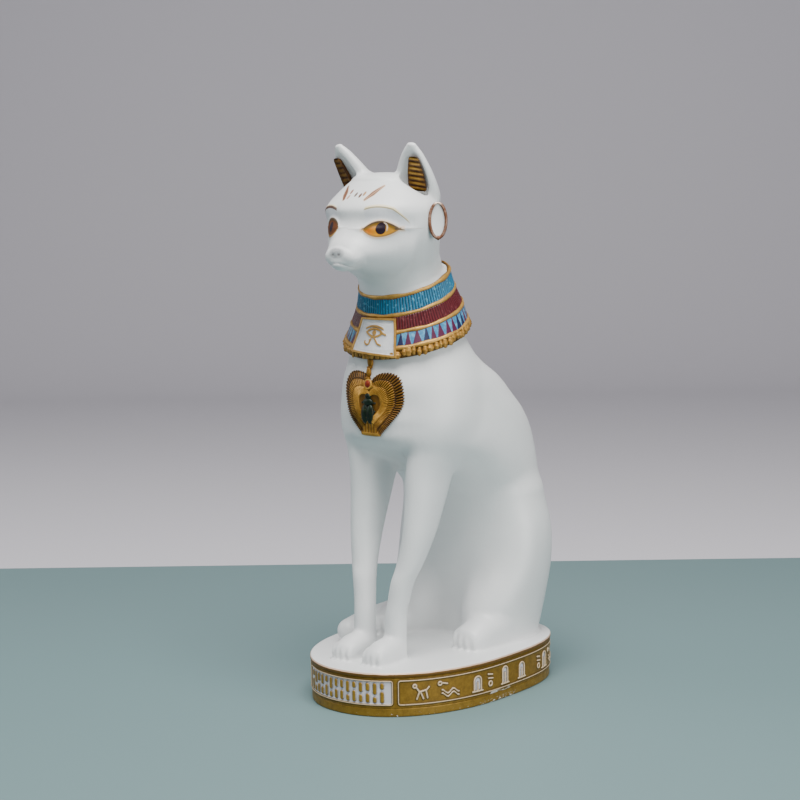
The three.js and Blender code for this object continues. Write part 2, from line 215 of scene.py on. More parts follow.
add_floor()
set_world()
for row in LAMPS:
    add_lamp(*row)
print(f"floor, world and {len(LAMPS)} lamps")

# %% [markdown]
# ## From numbers to meshes
# A skin is an array of points and a list of arrays of faces. Most skins are grids: rows of points
# that close round a section and end in a pole, or that close both ways like a hoop. These few
# helpers join such skins and write them into Blender in one go with foreach_set. A mesh whose
# volume comes out negative is turned, so that it faces outwards.

# %% Mesh helpers
HANDS = ((1, "left"), (-1, "right"))  # the sign of x on the cat's two sides


def full_turn(count, shift=0.0):
    """Even steps round a circle in radians, moved on by a share of a step."""
    return 2 * np.pi * (np.arange(count) + shift) / count


def volume_of(points, triangles):
    """Signed volume: a sixth of the sum of each face's triple product."""
    a, b, c = (points[triangles[:, k]] for k in range(3))
    return float((a * np.cross(b, c)).sum() / 6)


def split(quads):
    """Each four-sided face as two triangles."""
    return np.vstack([quads[:, [0, 1, 2]], quads[:, [0, 2, 3]]])


def add_piece(name, skin, material, attributes=None):
    """A finished piece from a skin in millimetres, smooth shaded, riding on the only body. An
    attribute is one number for each point, or one for all of them."""
    points, groups = skin
    triangles = np.vstack([group if group.shape[1] == 3 else split(group) for group in groups])
    if volume_of(points, triangles) < 0:
        groups = [group[:, ::-1] for group in groups]
    mesh = bpy.data.meshes.new(name)
    mesh.vertices.add(len(points))
    mesh.vertices.foreach_set("co", (np.asarray(points) * MM).astype(np.float32).ravel())
    corners = np.concatenate([group.ravel() for group in groups])
    sizes = np.concatenate([np.full(len(group), group.shape[1]) for group in groups])
    mesh.loops.add(len(corners))
    mesh.loops.foreach_set("vertex_index", corners.astype(np.int32))
    mesh.polygons.add(len(sizes))
    starts = np.concatenate([[0], np.cumsum(sizes)[:-1]])
    mesh.polygons.foreach_set("loop_start", starts.astype(np.int32))
    mesh.update(calc_edges=True)
    mesh.shade_smooth()
    for label, values in (attributes or {}).items():
        layer = mesh.attributes.new(label, "FLOAT", "POINT")
        values = np.ravel(values) if np.ndim(values) else np.full(len(points), values)
        layer.data.foreach_set("value", values.astype(np.float32))
    mesh.materials.append(material)
    piece = link(bpy.data.objects.new(name, mesh))
    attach(piece, "root")
    print(f"{name}: {len(triangles)} triangles")
    return piece


def grid_faces(rows, columns, closed=True):
    """Four-sided faces of a grid whose columns close round; its last row meets the first one too
    where it is closed both ways."""
    row = np.arange(rows if closed else rows - 1)[:, None]
    column = np.arange(columns)[None]
    after = (column + 1) % columns
    here = row * columns
    above = (row + 1) % rows * columns
    corners = (here + column, here + after, above + after, above + column)
    return np.stack(np.broadcast_arrays(*corners), -1).reshape(-1, 4)


def closed_ring(rings):
    """Skin of a grid of points that closes both ways."""
    return rings.reshape(-1, 3), [grid_faces(*rings.shape[:2])]


def closed_tube(rings):
    """Skin of rings with a pole at either end, in the middle of the first and of the last ring."""
    rows, sides = rings.shape[:2]
    poles = np.stack([rings[0].mean(0), rings[-1].mean(0)])
    around = np.arange(sides)
    beside = (around + 1) % sides
    last = (rows - 1) * sides
    pole = np.full(sides, rows * sides)
    caps = np.vstack([
        np.stack([pole, beside, around], -1),
        np.stack([pole + 1, last + around, last + beside], -1),
    ])
    return np.vstack([rings.reshape(-1, 3), poles]), [grid_faces(rows, sides, closed=False), caps]


def merged(skins):
    """Several skins as one, for small parts that make up one piece."""
    starts = np.cumsum([0] + [len(points) for points, _ in skins])
    kinds = zip(*(groups for _, groups in skins))
    joined = [np.vstack([group + start for group, start in zip(kind, starts)]) for kind in kinds]
    return np.vstack([points for points, _ in skins]), joined


print("mesh helpers ready")

# %% [markdown]
# ## Shader arithmetic
# Painted details are masks: numbers from 0 to 1 worked out from a place on the figure. Written as
# node names they are long, so one small class wraps an output socket and lets masks be written as
# sums and products. Any other node comes from its one method, settings first and sockets second.

# %% Wires
class Wire:
    """An output socket in a material's node tree. Arithmetic on it adds Math nodes."""

    def __init__(self, tree, socket=None):
        self.tree = tree
        self.socket = socket

    def node(self, kind, settings=None, sockets=None, output=0):
        made = self.tree.nodes.new(kind)
        for name, value in (settings or {}).items():
            if name == "stops":
                ramp = made.color_ramp
                while len(ramp.elements) < len(value):
                    ramp.elements.new(0.5)
                for element, (place, colour) in zip(ramp.elements, value):
                    element.position = place
                    element.color = (*colour, 1)
            else:
                setattr(made, name, value)
        for name, value in (sockets or {}).items():
            if isinstance(value, Wire):
                self.tree.links.new(value.socket, made.inputs[name])
            else:
                made.inputs[name].default_value = value
        return Wire(self.tree, made.outputs[output])

    def math(self, operation, *values, **settings):
        return self.node("ShaderNodeMath", {"operation": operation, **settings}, dict(enumerate(values)))

    def __add__(self, other):
        return self.math("ADD", self, other)

    def __mul__(self, other):
        return self.math("MULTIPLY", self, other)

    def __sub__(self, other):
        return self.math("SUBTRACT", self, other)

    def __rsub__(self, other):
        return self.math("SUBTRACT", other, self)

    def __truediv__(self, other):
        return self.math("DIVIDE", self, other)

    def __pow__(self, other):
        return self.math("POWER", self, other)

    def __abs__(self):
        return self.math("ABSOLUTE", self)

    __radd__ = __add__
    __rmul__ = __mul__

    def below(self, edge, soft):
        """1 where the value is under the edge, 0 where it is over, with a slope soft wide."""
        return ((edge - self) * (1 / soft) + 0.5).clamped()

    def above(self, edge, soft):
        return ((self - edge) * (1 / soft) + 0.5).clamped()

    def clamped(self):
        return self.math("ADD", self, 0.0, use_clamp=True)

    def either(self, other):
        return self.math("MAXIMUM", self, other)

    def xyz(self):
        split_node = self.tree.nodes.new("ShaderNodeSeparateXYZ")
        self.tree.links.new(self.socket, split_node.inputs[0])
        return [Wire(self.tree, output) for output in split_node.outputs]

    def painted(self, mask, colour):
        """This colour with another laid over it where the mask is 1."""
        top = colour if isinstance(colour, Wire) else (*colour, 1)
        settings = {"data_type": "RGBA"}
        return self.node("ShaderNodeMix", settings, {0: mask, 6: self, 7: top}, output=2)


class Finish:
    """A material being painted: its tree, its shader, and the place on the piece in millimetres."""

    def __init__(self, name):
        self.material = bpy.data.materials.new(name)
        self.material.use_nodes = True
        self.tree = self.material.node_tree
        self.shader = self.tree.nodes["Principled BSDF"]
        self.start = Wire(self.tree)
        metres = self.start.node("ShaderNodeTexCoord", output=3)
        scaled = {0: metres, 1: (1 / MM, 1 / MM, 1 / MM)}
        self.place = self.start.node("ShaderNodeVectorMath", {"operation": "MULTIPLY"}, scaled)

    def colour(self, value):
        """A plain colour as a wire, ready to be painted over."""
        made = self.tree.nodes.new("ShaderNodeRGB")
        made.outputs[0].default_value = (*value, 1)
        return Wire(self.tree, made.outputs[0])

    def noise(self, size, detail=3.0, roughness=0.55, stretch=(1, 1, 1)):
        """Noise from 0 to 1 whose blotches are about size millimetres across."""
        spread = {0: self.place, 1: tuple(value / size for value in stretch)}
        vector = self.start.node("ShaderNodeVectorMath", {"operation": "MULTIPLY"}, spread)
        sockets = {"Vector": vector, "Scale": 1.0, "Detail": detail, "Roughness": roughness}
        return self.start.node("ShaderNodeTexNoise", None, sockets)

    def attribute(self, name):
        return self.start.node("ShaderNodeAttribute", {"attribute_name": name}, output=2)

    def set(self, values):
        """Uniform values, straight on the shader's own sockets."""
        for name, value in values.items():
            self.shader.inputs[name].default_value = value

    def feed(self, name, wire):
        self.tree.links.new(wire.socket, self.shader.inputs[name])

    def sheen(self, blotches, spread, roughness, coat, coat_roughness, specular=0.5):
        """Roughness that grows by the spread where the blotches are 1, under a thin clear coat."""
        self.feed("Roughness", blotches * spread + roughness)
        self.set({
            "Coat Weight": coat, "Coat Roughness": coat_roughness, "Specular IOR Level": specular,
        })

    def bump(self, height, distance, strength=1.0):
        """Bump from a height from 0 to 1, distance millimetres tall."""
        sockets = {"Height": height, "Distance": distance * MM, "Strength": strength}
        self.feed("Normal", self.start.node("ShaderNodeBump", None, sockets))


print("shader helpers ready")

# %% [markdown]
# ## Soft union of lofted forms
# The cat is modelled as a caster's master would be: simple lofted masses for belly, shoulders,
# thighs and tail, pressed together until the joins are soft. Plain mesh booleans leave hard seams,
# so each mass becomes a field of distances on a fine grid, and the fields are joined with a smooth
# minimum. The surface where the joined field is zero is then drawn as one closed mesh.

# %% Lofted masses
PLINTH_HEIGHT = 16.0
FIGURE_REFERENCE = 184.0  # height of the cat that the stations below are written for
FIGURE_SCALE = (high_mm[2] - PLINTH_HEIGHT) / FIGURE_REFERENCE
CAP_TURNS = np.linspace(82, 8, 8)  # degrees of the rings that round off an end


def placed(points):
    """Points written for a cat of the reference height, z from the plinth's top, at real size."""
    return np.asarray(points, float) * FIGURE_SCALE + [0.0, 0.0, PLINTH_HEIGHT]


def unit(vectors):
    return vectors / np.linalg.norm(vectors, axis=-1, keepdims=True)


def bulge(value, power):
    """Superellipse: the sign of the value, times its size to the power of 2 over the power."""
    return np.sign(value) * np.abs(value) ** (2 / power)


def smooth_run(stations, per_span):
    """Rows between the stations on a Catmull-Rom curve: each span is the cubic whose slope at a
    station is half the step between its neighbours."""
    rows = np.asarray(stations, float)
    padded = np.vstack([rows[:1], rows, rows[-1:]])
    before, start, stop, after = (padded[k:k + len(rows) - 1, None] for k in range(4))
    t = (np.arange(per_span) / per_span)[None, :, None]
    run = (
        (2 * t ** 3 - 3 * t ** 2 + 1) * start
        + (t ** 3 - 2 * t ** 2 + t) * (stop - before) / 2
        + (3 * t ** 2 - 2 * t ** 3) * stop
        + (t ** 3 - t ** 2) * (after - start) / 2
    )
    return np.vstack([run.reshape(-1, rows.shape[1]), rows[-1:]])


def loft(stations, level=False, across=(1, 0, 0), caps=(0, 0), grow=0.0, sides=64, per_span=7):
    """Rings along a smooth run of stations [x, y, z, half width, front, back, power]. A ring is
    centre + across * width * bulge(cos) + out * reach * bulge(sin), level or square to the path.
    An end cap is a quarter turn: rings shrink by its cosine and move out by its sine."""
    run = smooth_run(stations, per_span)
    centres = placed(run[:, :3])
    ends = np.vstack([centres[:1], centres, centres[-1:]])
    travel = unit(ends[2:] - ends[:-2])
    forward = np.broadcast_to(UP, travel.shape) if level else travel
    across = np.asarray(across, float)
    side = unit(across - forward * (forward @ across)[:, None])
    out = np.cross(forward, side)

    turn = np.radians(CAP_TURNS)
    last = len(run) - 1
    start_turn = turn if caps[0] else turn[:0]
    end_turn = turn[::-1] if caps[1] else turn[:0]
    index = np.clip(np.arange(-len(start_turn), last + 1 + len(end_turn)), 0, last)
    shrink = np.concatenate([np.cos(start_turn), np.ones(last + 1), np.cos(end_turn)])
    lift_start, lift_end = -caps[0] * np.sin(start_turn), caps[1] * np.sin(end_turn)
    shift = np.concatenate([lift_start, np.zeros(last + 1), lift_end])

    half, front, back, power = (run[index, k][:, None] for k in range(3, 7))
    angle = full_turn(sides, 0.5)[None]
    reach = np.where(np.sin(angle) < 0, front, back) * FIGURE_SCALE + grow
    width = half * FIGURE_SCALE + grow
    middle = centres[index] + travel[index] * (shift * FIGURE_SCALE)[:, None]
    along_side = width * shrink[:, None] * bulge(np.cos(angle), power)
    along_out = reach * shrink[:, None] * bulge(np.sin(angle), power)
    rings = (
        middle[:, None]
        + side[index][:, None] * along_side[..., None]
        + out[index][:, None] * along_out[..., None]
    )
    return closed_tube(rings)


def mirrored(stations, hand):
    return [[hand * x, *rest] for x, *rest in stations]


def pebble(centre, reach, sides=28, rows=15):
    """A ball pressed out to three reaches: rings of cos(latitude) at heights of sin(latitude)."""
    latitude = np.radians(np.linspace(-84, 84, rows))[:, None]
    angle = full_turn(sides)[None]
    ball = np.stack([
        np.cos(latitude) * np.cos(angle),
        np.cos(latitude) * np.sin(angle),
        np.sin(latitude) + 0 * angle,
    ], -1)
    return closed_tube(placed(np.asarray(centre, float) + ball * np.asarray(reach, float)))


# %% Fields of distance
def smooth_minimum(a, b, blend):
    """The lesser of two distances. Where they differ by less than the blend, it is lower by the
    square of what is left of the blend over four times the blend."""
    near = np.maximum(blend - np.abs(a - b), 0)
    return np.minimum(a, b) - near ** 2 / (4 * blend)


class Clay:
    """Distances to a growing form, in millimetres, on a grid of small cubes. They are negative
    inside, and cut off at a few millimetres from the surface."""

    def __init__(self, low, high, voxel, band):
        self.voxel = voxel
        self.band = band
        self.first = np.floor(np.asarray(low) / voxel).astype(int)
        self.count = np.ceil(np.asarray(high) / voxel).astype(int) - self.first
        self.corner = tuple(int(k) for k in self.first)
        self.values = np.full(self.count, band, np.float32)

    def axes(self):
        """x, y and z of the grid's points, shaped so that they spread over the grid."""
        x, y, z = (self.voxel * (first + np.arange(count)) for first, count in zip(self.first, self.count))
        return x[:, None, None], y[None, :, None], z[None, None, :]

    def distance_to(self, skin):
        points, (quads, caps) = skin
        grid = openvdb.FloatGrid.createLevelSetFromPolygons(
            points.astype(np.float32),
            triangles=np.vstack([split(quads), caps]).astype(np.uint32),
            transform=openvdb.createLinearTransform(voxelSize=self.voxel),
            halfWidth=self.band / self.voxel,
        )
        values = np.empty(self.count, np.float32)
        grid.copyToArray(values, ijk=self.corner)
        return values

    def press(self, skin, blend):
        """Add a form, joined softly."""
        self.values = smooth_minimum(self.values, self.distance_to(skin), blend)

    def cut(self, skin, blend):
        """Take a form away: the same with the sign turned."""
        self.values = -smooth_minimum(-self.values, self.distance_to(skin), blend)

    def keep_below(self, limit):
        """Cut away all that lies where the limit, a distance too, is above zero."""
        self.values = np.maximum(self.values, limit)

    def surface(self):
        """The skin where the distance is zero."""
        grid = openvdb.FloatGrid(self.band)
        grid.copyFromArray(self.values.astype(np.float32), ijk=self.corner)
        grid.transform = openvdb.createLinearTransform(voxelSize=self.voxel)
        points, quads = grid.convertToQuads()
        return points.astype(float), [quads.astype(int)]


print("clay helpers ready")

# %% [markdown]
# ## The body
# Belly, hunched back and chest are one loft; thighs, forelegs, paws and the tail are pressed on to
# it. The blend is wide where the casting flows, as over the hips, and narrow where a crease shows,
# as between the toes. A narrow blend with the plinth's floor gives the little fillet that a mould
# leaves there. The throat ends under the collar, which hides the seam with the head.

# %% Body stations
TORSO = [
    [0, 22, -3, 23, 8, 22, 2.4],
    [0, 22.5, 14, 24.5, 9, 24.5, 2.4],
    [0, 24, 32, 24.5, 13, 24, 2.2],
    [0, 25.5, 46, 25.5, 17, 23.5, 2.1],
    [0, 24.5, 58, 26.8, 21, 26.1, 2.1],
    [0, 18.5, 68, 27.6, 28.5, 30.8, 2.2],
    [0, 9, 77, 27.8, 36.5, 38.2, 2.35],
    [0, 5, 85, 27.2, 35.3, 37.2, 2.4],
    [0, 2, 92, 26.4, 32, 32.6, 2.4],
    [0, -2, 99, 25.4, 28, 29, 2.35],
    [0, -5.5, 106, 23.4, 22.8, 21.8, 2.2],
    [0, -9, 115, 20.6, 17.8, 17, 2.1],
    [0, -11, 127, 16.8, 15, 14.8, 2],
    [0, -14, 142, 14.3, 13.6, 14, 2],
]
HAUNCH = [
    [16, 24, -3, 9.4, 18, 17, 2.2],
    [16.8, 24, 12, 12.2, 18.5, 19.6, 2.2],
    [17.8, 25, 28, 13.5, 11.5, 21, 2.2],
    [17.8, 26.4, 42, 13.3, 10.4, 19.8, 2.1],
    [16.7, 26.7, 54, 11.8, 11.2, 17, 2],
]
FRONT_LEG = [
    [7.3, -27.4, -2, 4.1, 4.4, 4.4, 2],
    [7.3, -27, 14, 3.8, 4.2, 4.2, 2],
    [8, -26.1, 21, 3.8, 4.3, 4.3, 2],
    [9.1, -24.9, 28, 4, 4.8, 4.8, 2],
    [10.6, -22.8, 34, 4.5, 5.3, 5.3, 2],
    [12.2, -19.6, 44, 5, 7.2, 7.2, 2],
    [12.8, -16.4, 56, 5.8, 9.2, 9.2, 2],
    [13.1, -14, 66, 6.8, 11, 10.8, 2],
    [14.4, -11.2, 75, 8.4, 13.2, 12.6, 2],
    [15.7, -9.8, 84, 10.3, 14.8, 14.6, 2],
    [15.5, -9.2, 93, 10.8, 14.6, 14.6, 2],
    [14.6, -8.6, 102, 10.3, 13, 14.2, 2],
    [12.8, -8.3, 110, 9.6, 11.5, 12.9, 2],
    [10.6, -8.4, 118, 8.4, 9.5, 10.6, 2],
]
FRONT_PAW = [
    [7.2, -27.6, 3.2, 4, 5, 5, 2.2],
    [7.2, -31.2, 3.2, 4.8, 5, 5.4, 2.2],
    [7.2, -35, 2.8, 5, 5, 5.2, 2.3],
    [7.2, -38.2, 2, 4.8, 4, 4.4, 2.3],
]
HIND_FOOT = [
    [20, 24, 5.5, 6.3, 8, 6.4, 2.2],
    [20.4, 13, 5.2, 6.9, 8, 7, 2.2],
    [20.2, 5, 4.4, 6.8, 7, 6.2, 2.3],
    [19.6, -0.5, 3, 6.4, 5, 5.2, 2.3],
]
TAIL = [
    [-4, 41.5, 6, 5, 5, 5, 2],
    [-14, 41.8, 5, 5, 5, 5, 2],
    [-21.5, 37.8, 4.7, 4.9, 4.9, 4.9, 2],
    [-26.2, 30.5, 4.6, 4.9, 4.9, 4.9, 2],
    [-28.6, 21, 4.4, 4.8, 4.8, 4.8, 2],
    [-28.6, 8, 4.3, 4.7, 4.7, 4.7, 2],
    [-26.6, -5, 4.2, 4.6, 4.6, 4.6, 2],
    [-24, -14, 4.3, 4.5, 4.5, 4.5, 2],
    [-22.6, -19, 4.4, 4.3, 4.3, 4.3, 2],
]
FRONT_TOES = dict(middle=(7.2, -38.2, 2.4), pitch=2.4, reach=3.9, tall=3.4)
HIND_TOES = dict(middle=(19.6, -0.6, 3), pitch=3, reach=3.8, tall=4.2)
TOE_WIDTH = 0.56  # half a toe, as a share of the way to the next
OUTER_TOE_BACK = 0.6


def toes(hand, middle, pitch, reach, tall):
    """Four balls in a row, the outer two a little further back."""
    x, y, z = middle
    size = (pitch * TOE_WIDTH, reach, tall)
    steps = ((-1.5, OUTER_TOE_BACK), (-0.5, 0), (0.5, 0), (1.5, OUTER_TOE_BACK))
    return [pebble((hand * (x + step * pitch), y + back, z), size) for step, back in steps]


# %% Press the body together
BODY_VOXEL = 0.69
BODY_BAND = 9.0
BODY_LOW = (-35, -48, PLINTH_HEIGHT - 2)
BODY_HIGH = (35, 53, PLINTH_HEIGHT + 130)
SEAM = PLINTH_HEIGHT + 126  # where the head takes over from the body, under the collar
SEAM_OVERLAP = 1.0
FLOOR_FILLET = 1.6
FLOOR_OVERLAP = 0.8  # how far the body goes down into the plinth


def body_surface():
    """Torso, haunches, legs, feet, toes and tail, then the fillet where they meet the plinth's top
    and flat cuts below and above."""
    clay = Clay(BODY_LOW, BODY_HIGH, BODY_VOXEL, BODY_BAND)
    clay.press(loft(TORSO, level=True, caps=(0, 3)), blend=0.5)
    for hand, _ in HANDS[::-1]:
        clay.press(loft(mirrored(HAUNCH, hand), level=True, caps=(0, 8)), blend=5.0)
    for hand, _ in HANDS[::-1]:
        clay.press(loft(mirrored(FRONT_LEG, hand), level=True, caps=(0, 3)), blend=3.2)
    for hand, _ in HANDS[::-1]:
        clay.press(loft(mirrored(FRONT_PAW, hand), caps=(2, 3)), blend=1.6)
        clay.press(loft(mirrored(HIND_FOOT, hand), caps=(3, 3)), blend=2.2)
        for toe in toes(hand, **FRONT_TOES) + toes(hand, **HIND_TOES):
            clay.press(toe, blend=0.15)
    clay.press(loft(TAIL, across=(0, 0, 1), caps=(3, 4)), blend=1.8)
    _, _, z = clay.axes()
    body = clay.values
    clay.values = smooth_minimum(body, z - PLINTH_HEIGHT, FLOOR_FILLET)
    clay.keep_below(body - FLOOR_FILLET)
    clay.keep_below(PLINTH_HEIGHT - FLOOR_OVERLAP - z)
    clay.keep_below(z - SEAM)
    return clay.surface()


# %% [markdown]
# ## The head
# The head is pressed together in the same way at a finer grid: skull, snout with two lip pads,
# nose and chin, and two ears whose open fronts are cut away. What a modelling tool adds last, such
# as the almond rims of the eyes, their sockets and the line of the mouth, is added to the field as
# small heights, so the rims are real relief and not only paint.

# %% Head stations
SKULL = [
    [0, -14, 132, 13, 10.4, 16.5, 2],
    [0, -17, 139, 15.4, 13.7, 18.4, 2],
    [0, -19.8, 145, 18.2, 18.4, 18.4, 2],
    [0, -21.3, 151, 20.4, 19, 17.4, 2.05],
    [0, -22, 157, 21.2, 18.4, 16.2, 2.1],
    [0, -22, 162, 20.8, 18.4, 16, 2.1],
    [0, -21.6, 167, 17.3, 13.6, 14.8, 2.1],
    [0, -21.4, 171, 12.8, 9.6, 12, 2.05],
]
SNOUT = [
    [0, -28, 148, 17, 11, 14, 2],
    [0, -36, 147.4, 13, 8.4, 10.2, 2],
    [0, -42, 146.4, 9, 5.8, 6.2, 2],
    [0, -45.1, 145.2, 5.8, 4.4, 3.8, 2],
]
LIP_PAD = ((3.6, -43.2, 144.9), (4.1, 4.0, 3.3))
NOSE = ((0, -45.5, 147), (2.7, 1.8, 1.7))
CHIN = ((0, -42.8, 142.4), (4.4, 4.8, 2.5))
NECK_FLARE = [
    [0, -8.6, 129.3, 16.6, 14.6, 15.6, 2],
    [0, -11.1, 135.8, 16.4, 14.8, 15.8, 2],
]
EAR_BASE = np.array([12.6, -18.5, 165.5])
EAR_TIP = np.array([17.1, -26.9, 184])
EAR_ACROSS = (11.5, 5.8, -9)
EAR_FACING = np.array([0.47, -0.87, 0])
EAR_SHELL = [
    [-0.16, 7.4, 3.2, 7.4],
    [0, 8.5, 3, 7.2],
    [0.28, 7.8, 2.7, 5.4],
    [0.55, 6.2, 2.2, 3.8],
    [0.8, 3.9, 1.6, 2.5],
    [0.95, 1.8, 0.9, 1.3],
]
EAR_HOLLOW = [
    [0.02, 4.6, 1.6, 1.8],
    [0.2, 5.9, 2.4, 2.0],
    [0.45, 5.1, 2.4, 1.9],
    [0.68, 3.5, 2, 1.5],
    [0.84, 1.7, 1.4, 0.9],
]
HOLLOW_FORWARD = 2.6


def ear_loft(rows, forward, hand, caps):
    """Loft of rows [share of the way up, half width, front, back] on the line from the ear's base
    to its tip, moved forward."""
    places = [EAR_BASE + (EAR_TIP - EAR_BASE) * row[0] + EAR_FACING * forward for row in rows]
    stations = [[*place, *row[1:], 2] for place, row in zip(places, rows)]
    x, y, z = EAR_ACROSS
    return loft(mirrored(stations, hand), across=(x, hand * y, hand * z), caps=caps)


# %% Press the head together
HEAD_VOXEL = 0.38
HEAD_BAND = 6.5
HEAD_LOW = (-28, -53, PLINTH_HEIGHT + 123)
HEAD_HIGH = (28, 6, PLINTH_HEIGHT + 186)
# Each painted eye: its middle beside and up, half length, half height, and how full its almond is
LEFT_EYE = np.array([11.6, 170.5, 5.1, 2.45, 1.0])
RIGHT_EYE = np.array([9.2, 170.9, 4.3, 2.95, 0.6])
# The brow's line: its height, where it is highest, how fast it falls, and where it falls faster
BROW_TOP, BROW_MIDDLE, BROW_FALL = 178.25, 11.0, 0.0425
BROW_TURN, BROW_TURN_FALL = 15.0, 0.23
MOUTH_TOP, MOUTH_FALL = 158.9, 0.06
NOSTRIL = (1.35, 161.9)


def eye_distance(x, z):
    """Roughly the distance outside an almond: up, less 1 - along squared to the fullness."""
    middle, level, half, tall, full = (np.where(x > 0, a, b) for a, b in zip(LEFT_EYE, RIGHT_EYE))
    along = (np.abs(x) - middle) / half
    lid = np.clip(1 - along ** 2, 0, 1) ** full - 0.5 * np.maximum(np.abs(along) - 1, 0)
    return (np.abs(z - level) - lid * tall) * 0.8


def bell(value, width):
    """1 where the value is 0, falling off as exp of minus the square of value over width."""
    return np.exp(-(value / width) ** 2)


def ramp(value, width):
    """0 below 0, 1 above the width, straight between."""
    return np.clip(value / width, 0, 1)


def face_relief(x, y, z):
    """Heights in millimetres: an almond rim, a soft socket round it, a slight eyeball in it and a
    brow on the front of the face; the line of the mouth and the nostrils at the tip."""
    outside = eye_distance(x, z)
    rim = 0.28 * bell(outside - 0.2, 0.5)
    ball = 0.35 * ramp(-outside, 2) ** 0.7
    socket = 0.45 * bell(outside - 1.6, 2.6)
    beside = np.abs(x)
    fall = BROW_FALL * (beside - BROW_MIDDLE) ** 2
    fall_beyond = BROW_TURN_FALL * np.maximum(beside - BROW_TURN, 0) ** 2
    line = BROW_TOP - fall - fall_beyond
    brow = 0.3 * bell(z - line, 0.9) * (ramp(beside - 6.2, 2) * ramp(18.3 - beside, 2))
    mouth = 0.22 * bell(z - MOUTH_TOP + MOUTH_FALL * x ** 2, 0.35) * ramp(6 - beside, 2)
    nostril = 0.3 * np.exp(-((beside - NOSTRIL[0]) / 0.5) ** 2 - ((z - NOSTRIL[1]) / 0.4) ** 2)
    return (rim + ball - socket + brow) * ramp(-26 - y, 3) - (mouth + nostril) * ramp(-42 - y, 2)


def head_surface():
    """Neck, skull, snout, lip pads, chin, nose and ears; then the ears' hollows, the relief of the
    face and a flat cut below."""
    clay = Clay(HEAD_LOW, HEAD_HIGH, HEAD_VOXEL, HEAD_BAND)
    clay.press(loft(TORSO, level=True, caps=(0, 3)), blend=0.5)
    clay.press(loft(SKULL, level=True, caps=(0, 2.8)), blend=3.0)
    clay.press(loft(NECK_FLARE, caps=(0, 0.5)), blend=2.2)
    clay.press(loft(SNOUT, caps=(0, 2.6)), blend=4.5)
    (x, y, z), size = LIP_PAD
    for hand, _ in HANDS[::-1]:
        clay.press(pebble((hand * x, y, z), size), blend=1.6)
    clay.press(pebble(*CHIN), blend=2.0)
    clay.press(pebble(*NOSE), blend=1.0)
    for hand, _ in HANDS[::-1]:
        clay.press(ear_loft(EAR_SHELL, 0, hand, caps=(0, 0.8)), blend=2.4)
    for hand, _ in HANDS[::-1]:
        clay.cut(ear_loft(EAR_HOLLOW, HOLLOW_FORWARD, hand, caps=(1, 0.8)), blend=0.5)
    x, y, z = clay.axes()
    clay.values = clay.values - face_relief(x, y, z).astype(np.float32)
    clay.keep_below(SEAM - SEAM_OVERLAP - z)
    return clay.surface()


# %% [markdown]
# ## White resin
# The casting is sprayed with a white satin lacquer. It is one even colour, so its life comes from
# a soft sheen, very faint cloudiness and the fine orange-peel of a spray coat.

# %% White lacquer
WHITE = (0.79, 0.8, 0.8)
WHITE_SHADE = (0.74, 0.755, 0.76)


def clouded_white(finish):
    return finish.colour(WHITE).painted(finish.noise(14.0).above(0.5, 0.5), WHITE_SHADE)


def white_lacquer(name):
    finish = Finish(name)
    base = clouded_white(finish)
    finish.feed("Base Color", base)
    finish.sheen(finish.noise(3.0), 0.12, 0.36, 0.12, 0.25)
    finish.bump(finish.noise(0.9, 2.0), 0.05, 0.5)
    return finish, base


# %% Body piece
body_white, _ = white_lacquer("white lacquer on the body")
body = add_piece("cat_body", body_surface(), body_white.material)

# %% [markdown]
# ## Painted face
# The face is painted on the white: amber eyes with a dark upper line and a gold lower line, long
# thin brows, two tapering strokes and a few dots on the brow, and a grey nose. Each is a mask of
# the place on the head in millimetres, with |x| for what both sides share, so that the lines stay
# sharp at any distance and no picture is needed. The far eye is painted darker and plainer.

# %% Lines as masks
def segment(u, v, start, end):
    """Distance to a straight line from start to end in the plane of u and v, and how far along the
    line its nearest point is, from 0 to 1."""
    du, dv = end[0] - start[0], end[1] - start[1]
    length = du * du + dv * dv
    share = (((u - start[0]) * du + (v - start[1]) * dv) / length).clamped()
    across = u - start[0] - share * du
    up = v - start[1] - share * dv
    return (across * across + up * up) ** 0.5, share


def oval(u, v, middle, half):
    """Wire that is 1 on an ellipse, less inside it and more outside."""
    across = (u - middle[0]) / half[0]
    up = (v - middle[1]) / half[1]
    return (across * across + up * up) ** 0.5


# %% Paint the eyes
AMBER = (0.58, 0.25, 0.006)
ORANGE = (0.45, 0.1, 0.003)
OLIVE = (0.13, 0.075, 0.006)
LINE_BROWN = (0.085, 0.05, 0.02)
PUPIL = (0.012, 0.004, 0.012)
PEACH = (0.76, 0.55, 0.38)
FAR_EYE_BROWN = (0.1, 0.026, 0.002)
LOWER_GOLD = (0.3, 0.15, 0.02)
GLINT = (0.72, 0.6, 0.5)
FACE_FRONT = -25  # y in front of which the eyes and brows are painted


